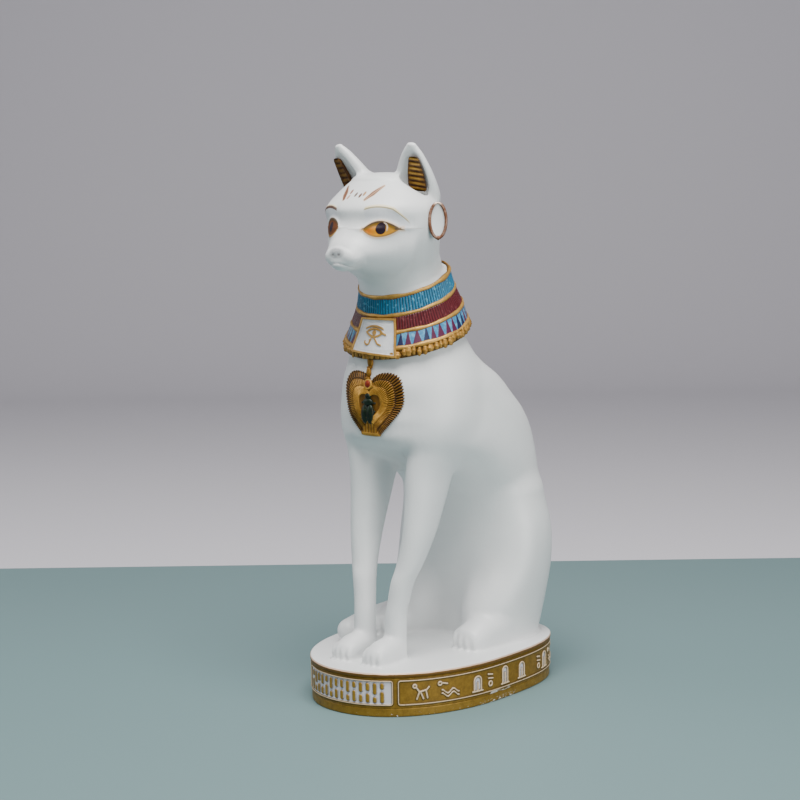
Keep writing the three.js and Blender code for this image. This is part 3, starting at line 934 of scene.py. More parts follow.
def paint_eyes(finish, base):
    """Peach round the almond; amber, orange and olive in it; brown and gold lines on its rim; and
    the pupil with its glint. Gives the colour and the mask of what is painted."""
    x, y, z = finish.place.xyz()
    left = x.above(0, 0.1)
    middle, level, half, tall, full = (left * (a - b) + b for a, b in zip(LEFT_EYE, RIGHT_EYE))
    front = y.below(FACE_FRONT, 2)
    along = (abs(x) - middle) / half
    up = z - level
    lid = (1 - along * along).clamped() ** full * tall
    outside = (abs(up) - lid) * 0.85
    above = up.above(0, 0.4)
    near_end = abs(along).below(1.22, 0.1)
    base = base.painted(outside.below(0.8, 0.5) * near_end * front * (left * 0.5 + 0.3), PEACH)
    ground = finish.colour(AMBER).painted(along.below(-0.35, 0.5) * 0.8, ORANGE)
    ground = ground.painted((up - lid).above(-1.35, 0.9) * 0.9, OLIVE)
    ground = ground.painted(1 - left, FAR_EYE_BROWN)
    inside = outside.below(0.0, 0.2) * front
    base = base.painted(inside, ground)
    within = abs(along).below(1.1, 0.05) * front
    from_rim = abs(outside - 0.05)
    upper = (from_rim - 0.4 + left * 0.1).below(0.0, 0.2) * above.either(1 - left) * within
    base = base.painted(upper, LINE_BROWN)
    base = base.painted(from_rim.below(0.24, 0.2) * (1 - above) * within, LOWER_GOLD)
    tail, share = segment(x, z, (16.0, 170.5), (17.7, 170.1))
    base = base.painted((tail + share * 0.25).below(0.34, 0.15) * front, LINE_BROWN)
    left_pupil = oval(x, z, (12.1, 170.7), (1.45, 2.05))
    right_pupil = oval(x, z, (-9.0, 171.1), (1.25, 1.75))
    pupil = x.math("MINIMUM", left_pupil, right_pupil).below(1.0, 0.12) * front
    base = base.painted(pupil, PUPIL)
    rim = oval(x, z, (12.4, 170.8), (1.55, 2.0))
    glint = abs(rim - 0.98).below(0.1, 0.12) * x.above(12.9, 0.5) * z.above(169.9, 0.6) * front
    return base.painted(glint * 0.8, GLINT), pupil.either(inside)


# %% Paint brows, strokes and nose
# Painted shade under the brow, and a painted highlight along its upper edge
BROW_PAINTED_SHADE = (0.55, 0.56, 0.66)
BROW_HIGHLIGHT = (0.78, 0.68, 0.46)
BROW_BROWN = (0.11, 0.055, 0.035)
BROW_OLIVE = (0.36, 0.3, 0.17)
STROKE_ENDS = ((4.9, -37.6), (8.3, -31.2))  # beside and along, at the foot and at the top
STROKE_BROWN = (0.2, 0.085, 0.045)
STROKE_WORN = (0.52, 0.34, 0.22)
BROW_DOTS = (  # across, along, colour
    (-3.6, -34.8, (0.3, 0.13, 0.09)),
    (-3.3, -36.9, (0.5, 0.28, 0.2)),
    (-0.5, -36.1, (0.16, 0.11, 0.09)),
    (1.7, -36.4, (0.13, 0.06, 0.035)),
    (3.0, -35.6, (0.4, 0.22, 0.1)),
)
NOSE_GREY = (0.34, 0.35, 0.36)
NOSTRIL_GREY = (0.16, 0.15, 0.15)
# Painted shadow along the line of the mouth
MOUTH_SHADOW_GREY = (0.4, 0.38, 0.38)


def paint_brows(finish, base):
    """Painted shade in grey under the brow, a painted highlight in pale cream along its upper edge,
    and the line itself: brown on the cat's right, thinner and olive on its left."""
    x, y, z = finish.place.xyz()
    beside = abs(x)
    left = x.above(0, 0.1)
    middle = beside - BROW_MIDDLE
    beyond = (beside - BROW_TURN).either(0.0)
    line = BROW_TOP - middle * middle * BROW_FALL - beyond * beyond * BROW_TURN_FALL
    from_line = z - line
    reach = beside.above(6.4, 0.6) * beside.below(18.6, 0.5) * y.below(FACE_FRONT, 2)
    # Painted shade: a grey wash under the brow
    base = base.painted(abs(from_line + 2.3).below(1.6, 1.6) * reach * 0.3, BROW_PAINTED_SHADE)
    # Painted highlight: a pale line along the brow's upper edge
    base = base.painted(abs(from_line - 0.35).below(0.35, 0.25) * reach, BROW_HIGHLIGHT)
    tone = finish.colour(BROW_BROWN).painted(left, BROW_OLIVE)
    width = 0.5 - left * 0.24
    return base.painted((abs(from_line + 0.15) - width).below(0.0, 0.2) * reach, tone)


def paint_brow_strokes(finish, base):
    """A tapering stroke on each side of the forehead, and five dots between them."""
    x, y, z = finish.place.xyz()
    crown = z.above(176, 2) * y.below(-20, 2)
    stroke, share = segment(abs(x), y, *STROKE_ENDS)
    width = 0.85 - abs(share - 0.4)
    base = base.painted((stroke - width).below(0.25, 0.3) * crown * 0.7, PEACH)
    worn = stroke.below(0.2, 0.25) * x.above(0, 0.1) * 0.8
    tone = finish.colour(STROKE_BROWN).painted(worn, STROKE_WORN)
    base = base.painted((stroke - width).below(0.0, 0.25) * crown, tone)
    for across, along, tone in BROW_DOTS:
        dot = oval(x, y, (across, along), (0.5, 0.9)).below(1.0, 0.3) * crown
        base = base.painted(dot, tone)
    return base


def paint_nose(finish, base):
    """A patchy grey oval at the tip, two darker nostrils in it, and a faint painted shadow along the
    line of the mouth.
    """
    x, y, z = finish.place.xyz()
    tip = y.below(-44, 1)
    patch = oval(x, z, (0, 162.4), (3.3, 1.75)).below(1.0, 0.35) * tip
    patch = patch * (finish.noise(0.8).above(0.45, 0.3) * 0.35 + 0.5)
    base = base.painted(patch, NOSE_GREY)
    nostril = oval(abs(x), z, NOSTRIL, (0.6, 0.42)).below(1.0, 0.5) * tip
    base = base.painted(nostril * 0.7, NOSTRIL_GREY)
    ends = abs(x).below(5.5, 1.5) * y.below(-42, 2)
    # Painted shadow: a faint grey line along the mouth
    mouth = abs(z - MOUTH_TOP + x * x * MOUTH_FALL).below(0.28, 0.3) * ends
    return base.painted(mouth * 0.35, MOUTH_SHADOW_GREY)


# %% Head piece
head_white, head_base = white_lacquer("white lacquer on the head")
head_base = paint_brows(head_white, head_base)
head_base = paint_brow_strokes(head_white, head_base)
head_base, eye_paint = paint_eyes(head_white, head_base)
head_base = paint_nose(head_white, head_base)
head_white.feed("Base Color", head_base)
left_side = head_white.place.xyz()[0].above(0, 1)
head_white.feed("Coat Weight", eye_paint * left_side * 0.25 + 0.03)
head_white.feed("Roughness", eye_paint * (0.75 - left_side * 0.9) + 0.42)
add_piece("cat_head", head_surface(), head_white.material)

# %% [markdown]
# ## Gold paint
# The gold is a bronze powder paint over brown: it is bright on what stands proud and brown in the
# recesses. The brown there is partly a wash that has settled and partly painted shade, and the
# bright tops are partly a painted highlight. A number called height on each point says how proud
# it is; on the collar's rims and the earring wires it also carries painted light from above and in front.

# %% Gold paint
GOLD_LIGHT = (0.60, 0.34, 0.08)
GOLD_MIDDLE = (0.21, 0.095, 0.01)
GOLD_DARK = (0.03, 0.012, 0.002)


def gold_paint(name, light=GOLD_LIGHT, middle=GOLD_MIDDLE, dark=GOLD_DARK):
    """Dark to middle to light with the height attribute, mottled by two sizes of noise."""
    finish = Finish(name)
    mottle = finish.noise(2.2) * 0.7 + finish.noise(0.6) * 0.3 - 0.5
    height = finish.attribute("height") + mottle * 0.9
    stops = [(0.0, dark), (0.42, middle), (0.95, light)]
    base = finish.start.node("ShaderNodeValToRGB", {"stops": stops}, {"Fac": height})
    finish.sheen(height.clamped(), -0.2, 0.56, 0.06, 0.25, 0.35)
    finish.set({"Metallic": 0.35})
    finish.bump(finish.noise(0.7), 0.08, 0.6)
    finish.feed("Base Color", base)
    return finish, base


def gold_material(name, *tones):
    return gold_paint(name, *tones)[0].material


# %% [markdown]
# ## The plinth
# The plinth is a low oval block, blunter at the back. Its top is white like the cat, its wall is
# gold with a thin lip. The core is a stack of superellipse rings; the decorated band sits in a
# shallow channel of that wall and is made on its own, because it needs a much finer grid.

# %% Plinth outline
PLINTH_HALF = 35.2
PLINTH_FRONT = 50.0
PLINTH_BACK = 48.5
FRONT_POWER = 2.12
BACK_POWER = 3.0
RIM_HEIGHT = 1.6
RIM_REACH = 0.5  # how far the lip stands out
EDGE_EASE = 0.5  # radius of the rounded edges
BAND_LOW = 3.2
BAND_HIGH = 13.8
CHANNEL = 0.5  # how deep the band's channel is
WALL_GOLD = ((0.38, 0.23, 0.03), (0.24, 0.135, 0.014))
LIP_BROWN = (0.16, 0.07, 0.018)
# Painted highlight: the peach line along the plinth's top edge
EDGE_HIGHLIGHT_PEACH = (0.78, 0.56, 0.42)
SCRAPED_WHITE = (0.75, 0.7, 0.64)


def outline_at(angle):
    """Superellipse: half width * bulge(cos) across and front or back reach * bulge(sin) along."""
    along = np.sin(angle)
    power = np.where(along < 0, FRONT_POWER, BACK_POWER)
    reach = np.where(along < 0, PLINTH_FRONT, PLINTH_BACK)
    return np.stack([PLINTH_HALF * bulge(np.cos(angle), power), reach * bulge(along, power)], -1)


def even_outline(count):
    """Points at even steps along the outline, from the front middle towards the cat's left, with
    the outward direction at each and the distance travelled, which is negative on the right."""
    points = outline_at(np.linspace(-np.pi / 2, 1.5 * np.pi, 24001))
    travelled = np.concatenate([[0], np.cumsum(np.linalg.norm(np.diff(points, axis=0), axis=1))])
    steps = travelled[-1] * np.arange(count) / count
    even = np.stack([np.interp(steps, travelled, points[:, k]) for k in (0, 1)], -1)
    along = unit(np.roll(even, -1, 0) - np.roll(even, 1, 0))
    out = np.stack([along[:, 1], -along[:, 0]], -1)
    signed = np.where(steps > travelled[-1] / 2, steps - travelled[-1], steps)
    return even, out, signed


# %% Plinth core
def eased_corner(z, grow, turn):
    """A quarter circle of small radius about z and grow: up by cos and out by sin of the turn."""
    return [(z + EDGE_EASE * math.cos(a), grow + EDGE_EASE * math.sin(a)) for a in turn]


def plinth_rings(count=360):
    """Rings at the heights of the wall's profile, each the even outline moved out by its reach."""
    ease = np.radians(np.linspace(90, 0, 6))
    lip = PLINTH_HEIGHT - RIM_HEIGHT
    top = PLINTH_HEIGHT - EDGE_EASE
    profile = [(EDGE_EASE - EDGE_EASE * math.sin(a), EDGE_EASE * (math.cos(a) - 1)) for a in ease]
    profile += [(z, 0.0) for z in np.linspace(1.0, BAND_LOW - 0.05, 5)]
    profile += [(BAND_LOW, -CHANNEL), (BAND_HIGH, -CHANNEL), (BAND_HIGH + 0.05, 0.0)]
    profile += [(lip - 0.1, 0.12), (lip + 0.1, 0.36), (lip + 0.35, RIM_REACH)]
    profile += [(z, RIM_REACH) for z in np.linspace(lip + 0.6, top, 3)]
    profile += eased_corner(top, RIM_REACH - EDGE_EASE, ease)
    profile += [(PLINTH_HEIGHT, -1.5), (PLINTH_HEIGHT, -6.0), (PLINTH_HEIGHT, -14.0)]
    even, out, _ = even_outline(count)
    return np.stack([np.column_stack([even + out * grow, np.full(count, z)]) for z, grow in profile])


def plinth_paint():
    """White on top, a painted peach highlight along the edge where the white meets the gold, a brown
    lip and a gold wall with a few scrapes down to the white resin."""
    finish, gold = gold_paint("gold paint on the plinth", *WALL_GOLD)
    x, y, z = finish.place.xyz()
    uneven = finish.noise(5.0) * 0.35
    lip = z.above(PLINTH_HEIGHT - RIM_HEIGHT - 0.15, 0.3)
    painted = gold.painted(lip * 0.75, LIP_BROWN)
    # Painted highlight: a peach line along the top edge, where the white meets the gold
    edge_highlight = (z + uneven).above(PLINTH_HEIGHT - 0.42, 0.15)
    painted = painted.painted(edge_highlight, EDGE_HIGHLIGHT_PEACH)
    top = (z + uneven * 0.3).above(PLINTH_HEIGHT - 0.06, 0.08)
    painted = painted.painted(top, clouded_white(finish))
    chip_noise = finish.noise(1.6, 4.0, 0.7, (1, 1, 2.5))
    near_scrape = abs(y + 3.0).below(11.0, 8.0) * x.above(20.0, 2.0)
    low_edge = (z + uneven).below(1.4, 1.2)
    chips = (chip_noise + near_scrape * 0.1).above(0.66, 0.04) * low_edge
    painted = painted.painted(chips, SCRAPED_WHITE)
    finish.feed("Base Color", painted)
    finish.feed("Metallic", (1 - top) * 0.4 * (1 - chips))
    return finish.material


add_piece("plinth", closed_tube(plinth_rings()), plinth_paint(), {"height": 0.45})

# %% [markdown]
# ## The band round the plinth
# A frame line divides the wall into panels. The front panel has a pale ground with two rows of
# gold strokes, the side panels have small raised marks on gold, and the rear panel is plain. The
# marks are drawn as distances in the unrolled plane of the wall, along and up: a stroke is where
# the distance to a bar, ring, niche or wave is less than half its width. The same distances give
# the relief and the paint. The marks spell nothing.

# %% Strokes as distances
def bar(s, z, start, end):
    """Distance to a straight stroke: to the nearest point of the line between its two ends."""
    ax, az = start
    bx, bz = end
    dx, dz = bx - ax, bz - az
    share = np.clip(((s - ax) * dx + (z - az) * dz) / (dx * dx + dz * dz), 0, 1)
    return np.hypot(s - ax - share * dx, z - az - share * dz)


def ring(s, z, middle, radius):
    """Distance to a circle: the distance to its middle, less its radius."""
    return np.abs(np.hypot(s - middle[0], z - middle[1]) - radius)


def arch_fill(s, z, middle, base, half, top):
    """Negative inside a round topped niche: a half circle on two upright sides."""
    over = np.maximum(z - (top - half), 0)
    side = np.hypot(s - middle, over) - half
    return np.maximum(side, base - z)


def wave(s, z, middle, half, lift):
    """Distance to a sine wave, measured upright, with its ends cut off."""
    height = middle[1] + lift * np.sin((s - middle[0]) * np.pi / half * 1.5)
    return np.hypot(z - height, np.maximum(np.abs(s - middle[0]) - half, 0))


# %% Marks of the panels
PANEL_LOW = 4.4
PANEL_HIGH = 13.0
FRONT_HALF = 20.5
SIDE_START = 22.6
SIDE_END = 117.5
FRAME_HALF = 0.17  # half the width of a frame line
MARK_HALF = 0.3  # and of a stroke on the side panels
STROKE_HALF = 0.85  # and on the front panel
FAR = 9.0  # further from a stroke than any paint or relief reaches
FORKS = (28.4, 110.0)  # where each group of marks starts along the side panel
WAVES = (37.8, 100.6)
# Middle, half width and top of each niche
NICHES = ((54.0, 1.7, 11.0), (68.7, 1.5, 11.8), (79.0, 1.6, 11.2), (96.2, 1.7, 11.4))
PAIRS = (60.4, 91.0)
FORK_BARS = (  # two ends each, counted from where the group starts
    ((0.5, 10.4), (1.7, 8.7)), ((1.7, 8.7), (4.3, 9.3)), ((4.3, 9.3), (5.2, 10.3)),
    ((1.6, 8.6), (0.7, 6.2)), ((2.1, 8.6), (3.1, 6.2)), ((4.1, 9.0), (4.6, 6.4)),
)
FRONT_PITCH = 2.6
FRONT_GAPS = (8.9, 7.7, 9.6, 8.3)  # heights between the two rows of front strokes, in turn


def nearest(distances):
    """The least of several distances, and no more than FAR."""
    return np.minimum.reduce(distances, initial=FAR)


def panel(s, z, start, end, low=PANEL_LOW, high=PANEL_HIGH, round_off=0.8):
    """Distance to the outline of a panel with rounded corners, negative inside it."""
    middle = (start + end) / 2
    across = np.abs(s - middle) - (end - start) / 2 + round_off
    up = np.abs(z - (low + high) / 2) - (high - low) / 2 + round_off
    outside = np.hypot(np.maximum(across, 0), np.maximum(up, 0))
    return outside + np.minimum(np.maximum(across, up), 0) - round_off


def side_marks(s, z):
    """Groups of marks along a side panel, about ten millimetres from one to the next. Gives the
    distance to the nearest stroke and to the nearest niche filled with pale paint."""
    low = PANEL_LOW + 1.2
    strokes = []
    for first in FORKS:
        strokes += [ring(s, z, (first, 10.9), 0.6)]
        strokes += [bar(s - first, z, start, end) for start, end in FORK_BARS]
    for first in WAVES:
        strokes += [
            ring(s, z, (first, 11.0), 0.65),
            bar(s, z, (first + 1.3, 11.0), (first + 2.9, 10.6)),
            wave(s, z, (first + 4.2, 7.9), 3.4, 0.7),
            wave(s, z, (first + 4.2, 6.7), 3.4, 0.7),
        ]
    niches = [arch_fill(s, z, middle, low, half, top) for middle, half, top in NICHES]
    for niche, (middle, half, top) in zip(niches, NICHES):
        strokes += [
            np.abs(niche),
            bar(s, z, (middle - half - 0.7, low), (middle + half + 0.7, low)),
            bar(s, z, (middle, low), (middle, top - 2.4)),
        ]
    for middle in PAIRS:
        strokes += [
            ring(s, z, (middle, 7.2), 0.85),
            bar(s, z, (middle - 1.2, 10.8), (middle + 1.0, 10.4)),
            bar(s, z, (middle - 1.0, 9.3), (middle + 1.2, 9.0)),
        ]
    return nearest(strokes), nearest(niches)


def front_strokes(s, z):
    """Two rows of short upright strokes of differing heights, mirrored about the middle."""
    strokes = []
    for index, middle in enumerate(np.arange(1.3, 19.0, FRONT_PITCH)):
        gap = FRONT_GAPS[index % 4]
        for side in (-middle, middle):
            strokes += [bar(s, z, (side, 5.8), (side, gap - 1.1)), bar(s, z, (side, gap + 1.1), (side, 11.6))]
    return nearest(strokes)


def rise(distance, half, soft=0.16):
    """1 inside a stroke of that half width and 0 outside it, with a rounded shoulder."""
    t = np.clip((half + soft - distance) / (2 * soft), 0, 1)
    return t * t * (3 - 2 * t)


# %% The band's surface
BAND_RELIEF = 0.5
BAND_COLUMNS = 1400
BAND_ROWS = 62
BAND_BACK = 1.2  # how far in the hidden side of the sleeve is


def with_plain_back(values):
    """A number for each point of a grid, and 0 on the two rows that close it into a ring."""
    return np.vstack([values, np.zeros((2, values.shape[1]))])


def band_mesh():
    """A sleeve round the plinth: its outside is a grid of travelled distance by height, moved out
    by the relief, and two plain rows behind close it into a ring."""
    even, out, signed = even_outline(BAND_COLUMNS)
    s = signed[None]
    z = np.linspace(BAND_LOW, BAND_HIGH, BAND_ROWS)[:, None]
    length = np.abs(s).max() + 0.1
    front = panel(s, z, -FRONT_HALF, FRONT_HALF)
    side = panel(np.abs(s), z, SIDE_START, SIDE_END)
    rear = panel(length - np.abs(s), z, -FRONT_HALF, FRONT_HALF)
    frames = nearest([np.abs(side), np.abs(front), np.abs(rear)])
    stroke, filled = side_marks(np.abs(s), z)
    upright = front_strokes(s, z)
    mark = rise(stroke, MARK_HALF)
    gold = rise(upright, STROKE_HALF - 0.2)
    ground = rise(front + 0.3, 0.0)
    cream = np.maximum(rise(frames, FRAME_HALF), mark)
    pale = np.maximum(ground * (1 - gold), rise(filled + 0.4, 0.0) * (1 - mark))
    relief = BAND_RELIEF * (0.75 * np.maximum(cream, gold) - 0.4 * ground * (1 - gold)) + 0.08
    # Painted shadow, which also reads as an outline: dark olive along the foot of each front stroke and just
    # outside the side marks and frames
    foot = rise(np.abs(upright - STROKE_HALF + 0.1), 0.12) * ground
    shadow = rise(np.minimum(stroke - MARK_HALF, frames - FRAME_HALF), 0.4) * (1 - ground)
    # The gold is a little darker beside the frames, as painted shade
    height = 0.42 + 0.3 * (gold * ground) - 0.1 * rise(frames, 0.6)

    grid = (BAND_ROWS, BAND_COLUMNS)
    outside = np.broadcast_to(even[None], (*grid, 2)) + out[None] * relief[..., None]
    points = np.concatenate([outside, np.broadcast_to(z[..., None], (*grid, 1))], -1)
    inside = even - out * BAND_BACK
    behind = [np.column_stack([inside, np.full(BAND_COLUMNS, z)]) for z in (BAND_HIGH, BAND_LOW)]
    # The edge attribute carries the painted shadow at the foot of the strokes and frames
    values = {"cream": cream, "pale": pale, "edge": np.maximum(foot, 0.8 * shadow), "height": height}
    values = {name: with_plain_back(grid_values) for name, grid_values in values.items()}
    return closed_ring(np.concatenate([points, np.stack(behind)])), values


BAND_GOLD = ((0.40, 0.24, 0.03), (0.23, 0.125, 0.012), (0.05, 0.03, 0.004))
LAVENDER_WHITE = (0.66, 0.64, 0.68)
# Dark olive at the foot of the marks: their outline, and painted shadow
STROKE_SHADOW_OLIVE = (0.075, 0.045, 0.008)
CREAM = (0.66, 0.5, 0.33)


def band_paint():
    """Gold ground; cream on frames and marks; pale lavender white behind the front strokes and in
    the niches; dark olive along the foot of every stroke, an outline that is also painted shadow;
    rubbed and scraped here and there."""
    finish, gold = gold_paint("gold paint on the band", *BAND_GOLD)
    x, y, z = finish.place.xyz()
    patchy = finish.noise(1.1, 3.0, 0.6)
    pale = finish.attribute("pale")
    cream = finish.attribute("cream")
    edge = finish.attribute("edge")
    painted = gold.painted(pale.above(0.5, 0.4), LAVENDER_WHITE)
    # Dark olive outlines at the foot of the strokes, as painted shadow
    painted = painted.painted(edge * patchy.above(0.35, 0.3) * 0.9, STROKE_SHADOW_OLIVE)
    rubbed = cream.above(0.55, 0.35) * patchy.above(0.3, 0.2)
    painted = painted.painted(rubbed, CREAM)
    scratch_noise = finish.noise(1.3, 4.0, 0.7, (1, 0.35, 2.2))
    near_scrape = abs(y + 2.0).below(8.0, 5.0) * x.above(20.0, 2.0) * z.below(4.6, 1.2)
    scratch = (scratch_noise * near_scrape).above(0.52, 0.04)
    painted = painted.painted(scratch, SCRAPED_WHITE)
    finish.feed("Base Color", painted)
    finish.feed("Metallic", (1 - pale.either(cream)) * 0.4)
    return finish.material


band_skin, band_values = band_mesh()
add_piece("plinth_band", band_skin, band_paint(), band_values)

# %% [markdown]
# ## The broad collar
# A broad collar lies round the neck: a turquoise band, a maroon band and a blue band with dark
# triangles, each between gold rims, and a fringe of gold drops. Each rim is a tilted ellipse, so
# every row of the collar is found between two of them. Bands and rims are separate rings, because
# enamel and gold take different finishes. Flutes are part of the surface, not of the bump.

# %% Collar surface
COLLAR_RIMS = np.array([
    [-11.1, 135.7, 17, 15, 0.39],
    [-10.3, 129.3, 18.6, 16, 0.39],
    [-9.8, 123.4, 21.3, 18, 0.35],
    [-10, 117.8, 23.4, 19.8, 0.32],
    [-9.8, 114.6, 23.7, 20.6, 0.32],
])


def rim_numbers(level):
    """[y, z, half width, half depth, slope] of the tilted ellipse at a level, 0 at the top rim and
    4 at the lowest, mixed from the rims above and below."""
    return [np.interp(level, np.arange(5), column) for column in COLLAR_RIMS.T]


def collar_place(level, angle, proud):
    """The place at a level and an angle: (half width cos, y + half depth sin, z + slope half depth
    sin), moved out by proud."""
    level, angle, proud = np.broadcast_arrays(level, angle, proud)
    y, z, half_x, half_y, slope = rim_numbers(level)
    deep = half_y * np.sin(angle)
    points = placed(np.stack([half_x * np.cos(angle), y + deep, z + slope * deep], -1))
    points[..., 0] += proud * np.cos(angle)
    points[..., 1] += proud * np.sin(angle)
    return points


def collar_ring(level, angle, proud):
    """Skin of a ring of the collar: proud outside, and two plain rows behind that close it."""
    outside = collar_place(level, angle, proud)
    inside = collar_place(level[[-1, 0]], angle, -BAND_DEPTH)
    return closed_ring(np.concatenate([outside, inside]))


def wobble(angle, amount, seed):
    """A hand's unevenness: five slow sine waves with random turns, amount millimetres in all."""
    random = np.random.default_rng(seed)
    counts = random.integers(3, 17, 5)
    turns = random.uniform(0, 2 * np.pi, 5)
    return amount / 3 * sum(np.sin(count * angle + turn) for count, turn in zip(counts, turns))


# %% Fluted bands
BAND_DEPTH = 1.6  # how far in the hidden side of a band is
AROUND = full_turn(1200)[None]
AROUND_COARSE = full_turn(480)[None]  # for rims and the strip, which have no flutes
# Tones of each enamel: deep, the painted shade in its flutes, also laid in faint random blotches; bright, its
# own colour; and a speckle
TURQUOISE = ((0.003, 0.04, 0.075), (0.02, 0.2, 0.36), (0.14, 0.44, 0.6))
MAROON = ((0.03, 0.002, 0.005), (0.125, 0.012, 0.018), (0.19, 0.05, 0.055))


def fluted_band(name, top, bottom, flutes, depth, material):
    """A ring whose outside is cut by flutes: proud = depth * |cos(half the flute angle)| to a low
    power, which leaves rounded ribs with narrow grooves between them."""
    level = np.linspace(top, bottom, 9)[:, None]
    ribs = np.abs(np.cos(AROUND * flutes / 2 + wobble(AROUND, 0.5, flutes))) ** 0.6
    height = ribs * (0.85 + 0.15 * wobble(AROUND * 3 + level, 1.0, 7))
    skin = collar_ring(level, AROUND, depth * height)
    add_piece(name, skin, material, {"height": with_plain_back(height)})


def enamel(name, deep, bright, speckle):
    """Glassy paint: near black in the flutes as painted shade, its own bright colour on the ribs, with
    speckles of another tone.
    """
    finish = Finish(name)
    height = finish.attribute("height")
    base = finish.colour(deep).painted(height.above(0.55, 0.7), bright)
    base = base.painted(finish.noise(1.3, 4.0).above(0.62, 0.08) * 0.7, speckle)
    base = base.painted(finish.noise(4.0).above(0.55, 0.3) * 0.25, deep)
    finish.feed("Base Color", base)
    finish.sheen(finish.noise(1.0), 0.2, 0.24, 0.15, 0.2, 0.35)
    finish.bump(finish.noise(0.6), 0.04, 0.5)
    return finish.material


turquoise = enamel("turquoise enamel", *TURQUOISE)
maroon = enamel("maroon enamel", *MAROON)
fluted_band("collar_turquoise_band", 0.03, 0.97, 104, 0.32, turquoise)
fluted_band("collar_maroon_band", 1.03, 1.97, 116, 0.3, maroon)

# %% Band of triangles
TRIANGLES = 44
BLUE = (0.035, 0.2, 0.38)
PALE_BLUE = (0.13, 0.38, 0.56)
NAVY = (0.012, 0.014, 0.06)
PURPLE_MAROON = (0.085, 0.008, 0.04)


def triangle_band():
    """Blue ring with upright dark triangles, raised a hair: inside where the height above the foot
    is less than what a triangle wave of the angle leaves."""
    share = np.linspace(0, 1, 23)[:, None]
    count = AROUND * TRIANGLES / (2 * np.pi) + wobble(AROUND, 0.12, 4)
    tooth = 1 - np.abs(2 * (count % 1) - 1)
    margin = tooth * 1.18 - (1 - share) - 0.06
    dark = np.clip(0.5 + margin * 7, 0, 1)
    which = np.floor(count).astype(int) % TRIANGLES
    tone = np.random.default_rng(3).uniform(0, 1, TRIANGLES + 2)[which] * np.ones_like(share)
    skin = collar_ring(2.03 + 0.94 * share, AROUND, 0.1 + 0.14 * dark)
    return skin, {"height": with_plain_back(dark), "tone": with_plain_back(tone)}


def triangle_paint():
    """Blue and pale blue ground, with triangles that run from navy to purple maroon."""
    finish = Finish("blue enamel with dark triangles")
    patchy = finish.noise(1.5, 3.0)
    ground = finish.colour(BLUE).painted(patchy.above(0.55, 0.2), PALE_BLUE)
    dark = finish.colour(NAVY).painted(finish.attribute("tone").above(0.45, 0.3), PURPLE_MAROON)
    finish.feed("Base Color", ground.painted(finish.attribute("height").above(0.5, 0.3), dark))
    finish.sheen(patchy, 0.2, 0.22, 0.4, 0.12)
    finish.bump(finish.noise(0.6), 0.04, 0.5)
    return finish.material


triangle_skin, triangle_values = triangle_band()
add_piece("collar_triangle_band", triangle_skin, triangle_paint(), triangle_values)

# %% Gold rims
RIM_PROUD = 0.75
RIM_HALF_TALL = 0.85
RIM_LEVELS = (0.02, 1.0, 2.0, 3.0)
collar_gold = gold_material("gold paint on the collar")


def rim_rod(level, seed):
    """A rod laid along one rim: its section is an ellipse, cos outwards and sin up, and its
    thickness wanders a little as a brushed on line does. Gives its skin and its heights."""
    turn = full_turn(14)[:, None]
    size = 1 + wobble(AROUND_COARSE, 0.22, seed)
    points = collar_place(level, AROUND_COARSE, RIM_PROUD * size * np.cos(turn) - 0.15)
    points[..., 2] += RIM_HALF_TALL * size * np.sin(turn) + wobble(AROUND_COARSE, 0.12, seed + 20)
    # The heights are painted light: lightest on the rod's outer face and lighter on top, as a painted
    # highlight, with painted shade underneath and on its inner side
    height = 0.35 + 0.45 * np.cos(turn) + 0.25 * np.sin(turn) + 0 * AROUND_COARSE
    return closed_ring(points), height.ravel()


rods = [rim_rod(level, 11 + index) for index, level in enumerate(RIM_LEVELS)]
rim_heights = np.concatenate([height for _, height in rods])
add_piece("collar_rims", merged([skin for skin, _ in rods]), collar_gold, {"height": rim_heights})

# %% Fringe of drops
DROPS = 72


def fringe_drop(angle, random):
    """One drop: a ball stretched down the slope of the collar, ridged across."""
    middle = collar_place(3.5 + random.uniform(-0.14, 0.16), angle, 0.2)
    down = unit(collar_place(4.0, angle, 0.0) - collar_place(3.2, angle, 0.0))
    out = np.array([np.cos(angle), np.sin(angle), 0.0])
    side = np.cross(down, out)
    latitude = np.radians(np.linspace(-80, 80, 13))[:, None]
    turn = full_turn(14)[None]
    wide, deep, tall = (random.uniform(*limits) for limits in ((0.75, 1.35), (0.7, 1.05), (1.3, 1.9)))
    ridge = 1 + 0.12 * np.cos(latitude * 7)
    return closed_tube(
        middle
        + side * (wide * ridge * np.cos(latitude) * np.cos(turn))[..., None]
        + out * (deep * ridge * np.cos(latitude) * np.sin(turn))[..., None]
        + down * (tall * np.sin(latitude) + 0 * turn)[..., None]
    )


def fringe():
    random = np.random.default_rng(5)
    starts = (2 * np.pi * (k + random.uniform(0.3, 0.7)) / DROPS for k in range(DROPS))
    return merged([fringe_drop(angle, random) for angle in starts])


add_piece("collar_fringe", fringe(), collar_gold, {"height": 0.62})

# %% Strip under the fringe
# The strip's low height paints it dark brown: painted shade in the gaps between the drops
strip_levels = np.linspace(3.0, 4.0, 5)[:, None]
strip = collar_ring(strip_levels, AROUND_COARSE, 0.12 + wobble(AROUND_COARSE, 0.1, 31))
add_piece("collar_strip", strip, collar_gold, {"height": 0.2})

# %% [markdown]
# ## Inside the ears
# The open front of each ear is gilded and ribbed across. It is a narrow shell that follows the
# hollow: across it the section is a flat oval, and going up it carries seven ribs.

# %% Ribbed ear lining
EAR_RIBS = 7
LINING_START = 0.1  # shares of the way up the ear
LINING_END = 0.74
# How wide the lining is as a share of the hollow, how far out it lies, and how bright its ribs are
LINING_FIT = {1: (0.64, 1.25, 1.0), -1: (0.42, 2.3, 0.45)}
EAR_GOLD = ((0.6, 0.33, 0.05), (0.24, 0.11, 0.014), (0.05, 0.016, 0.003))


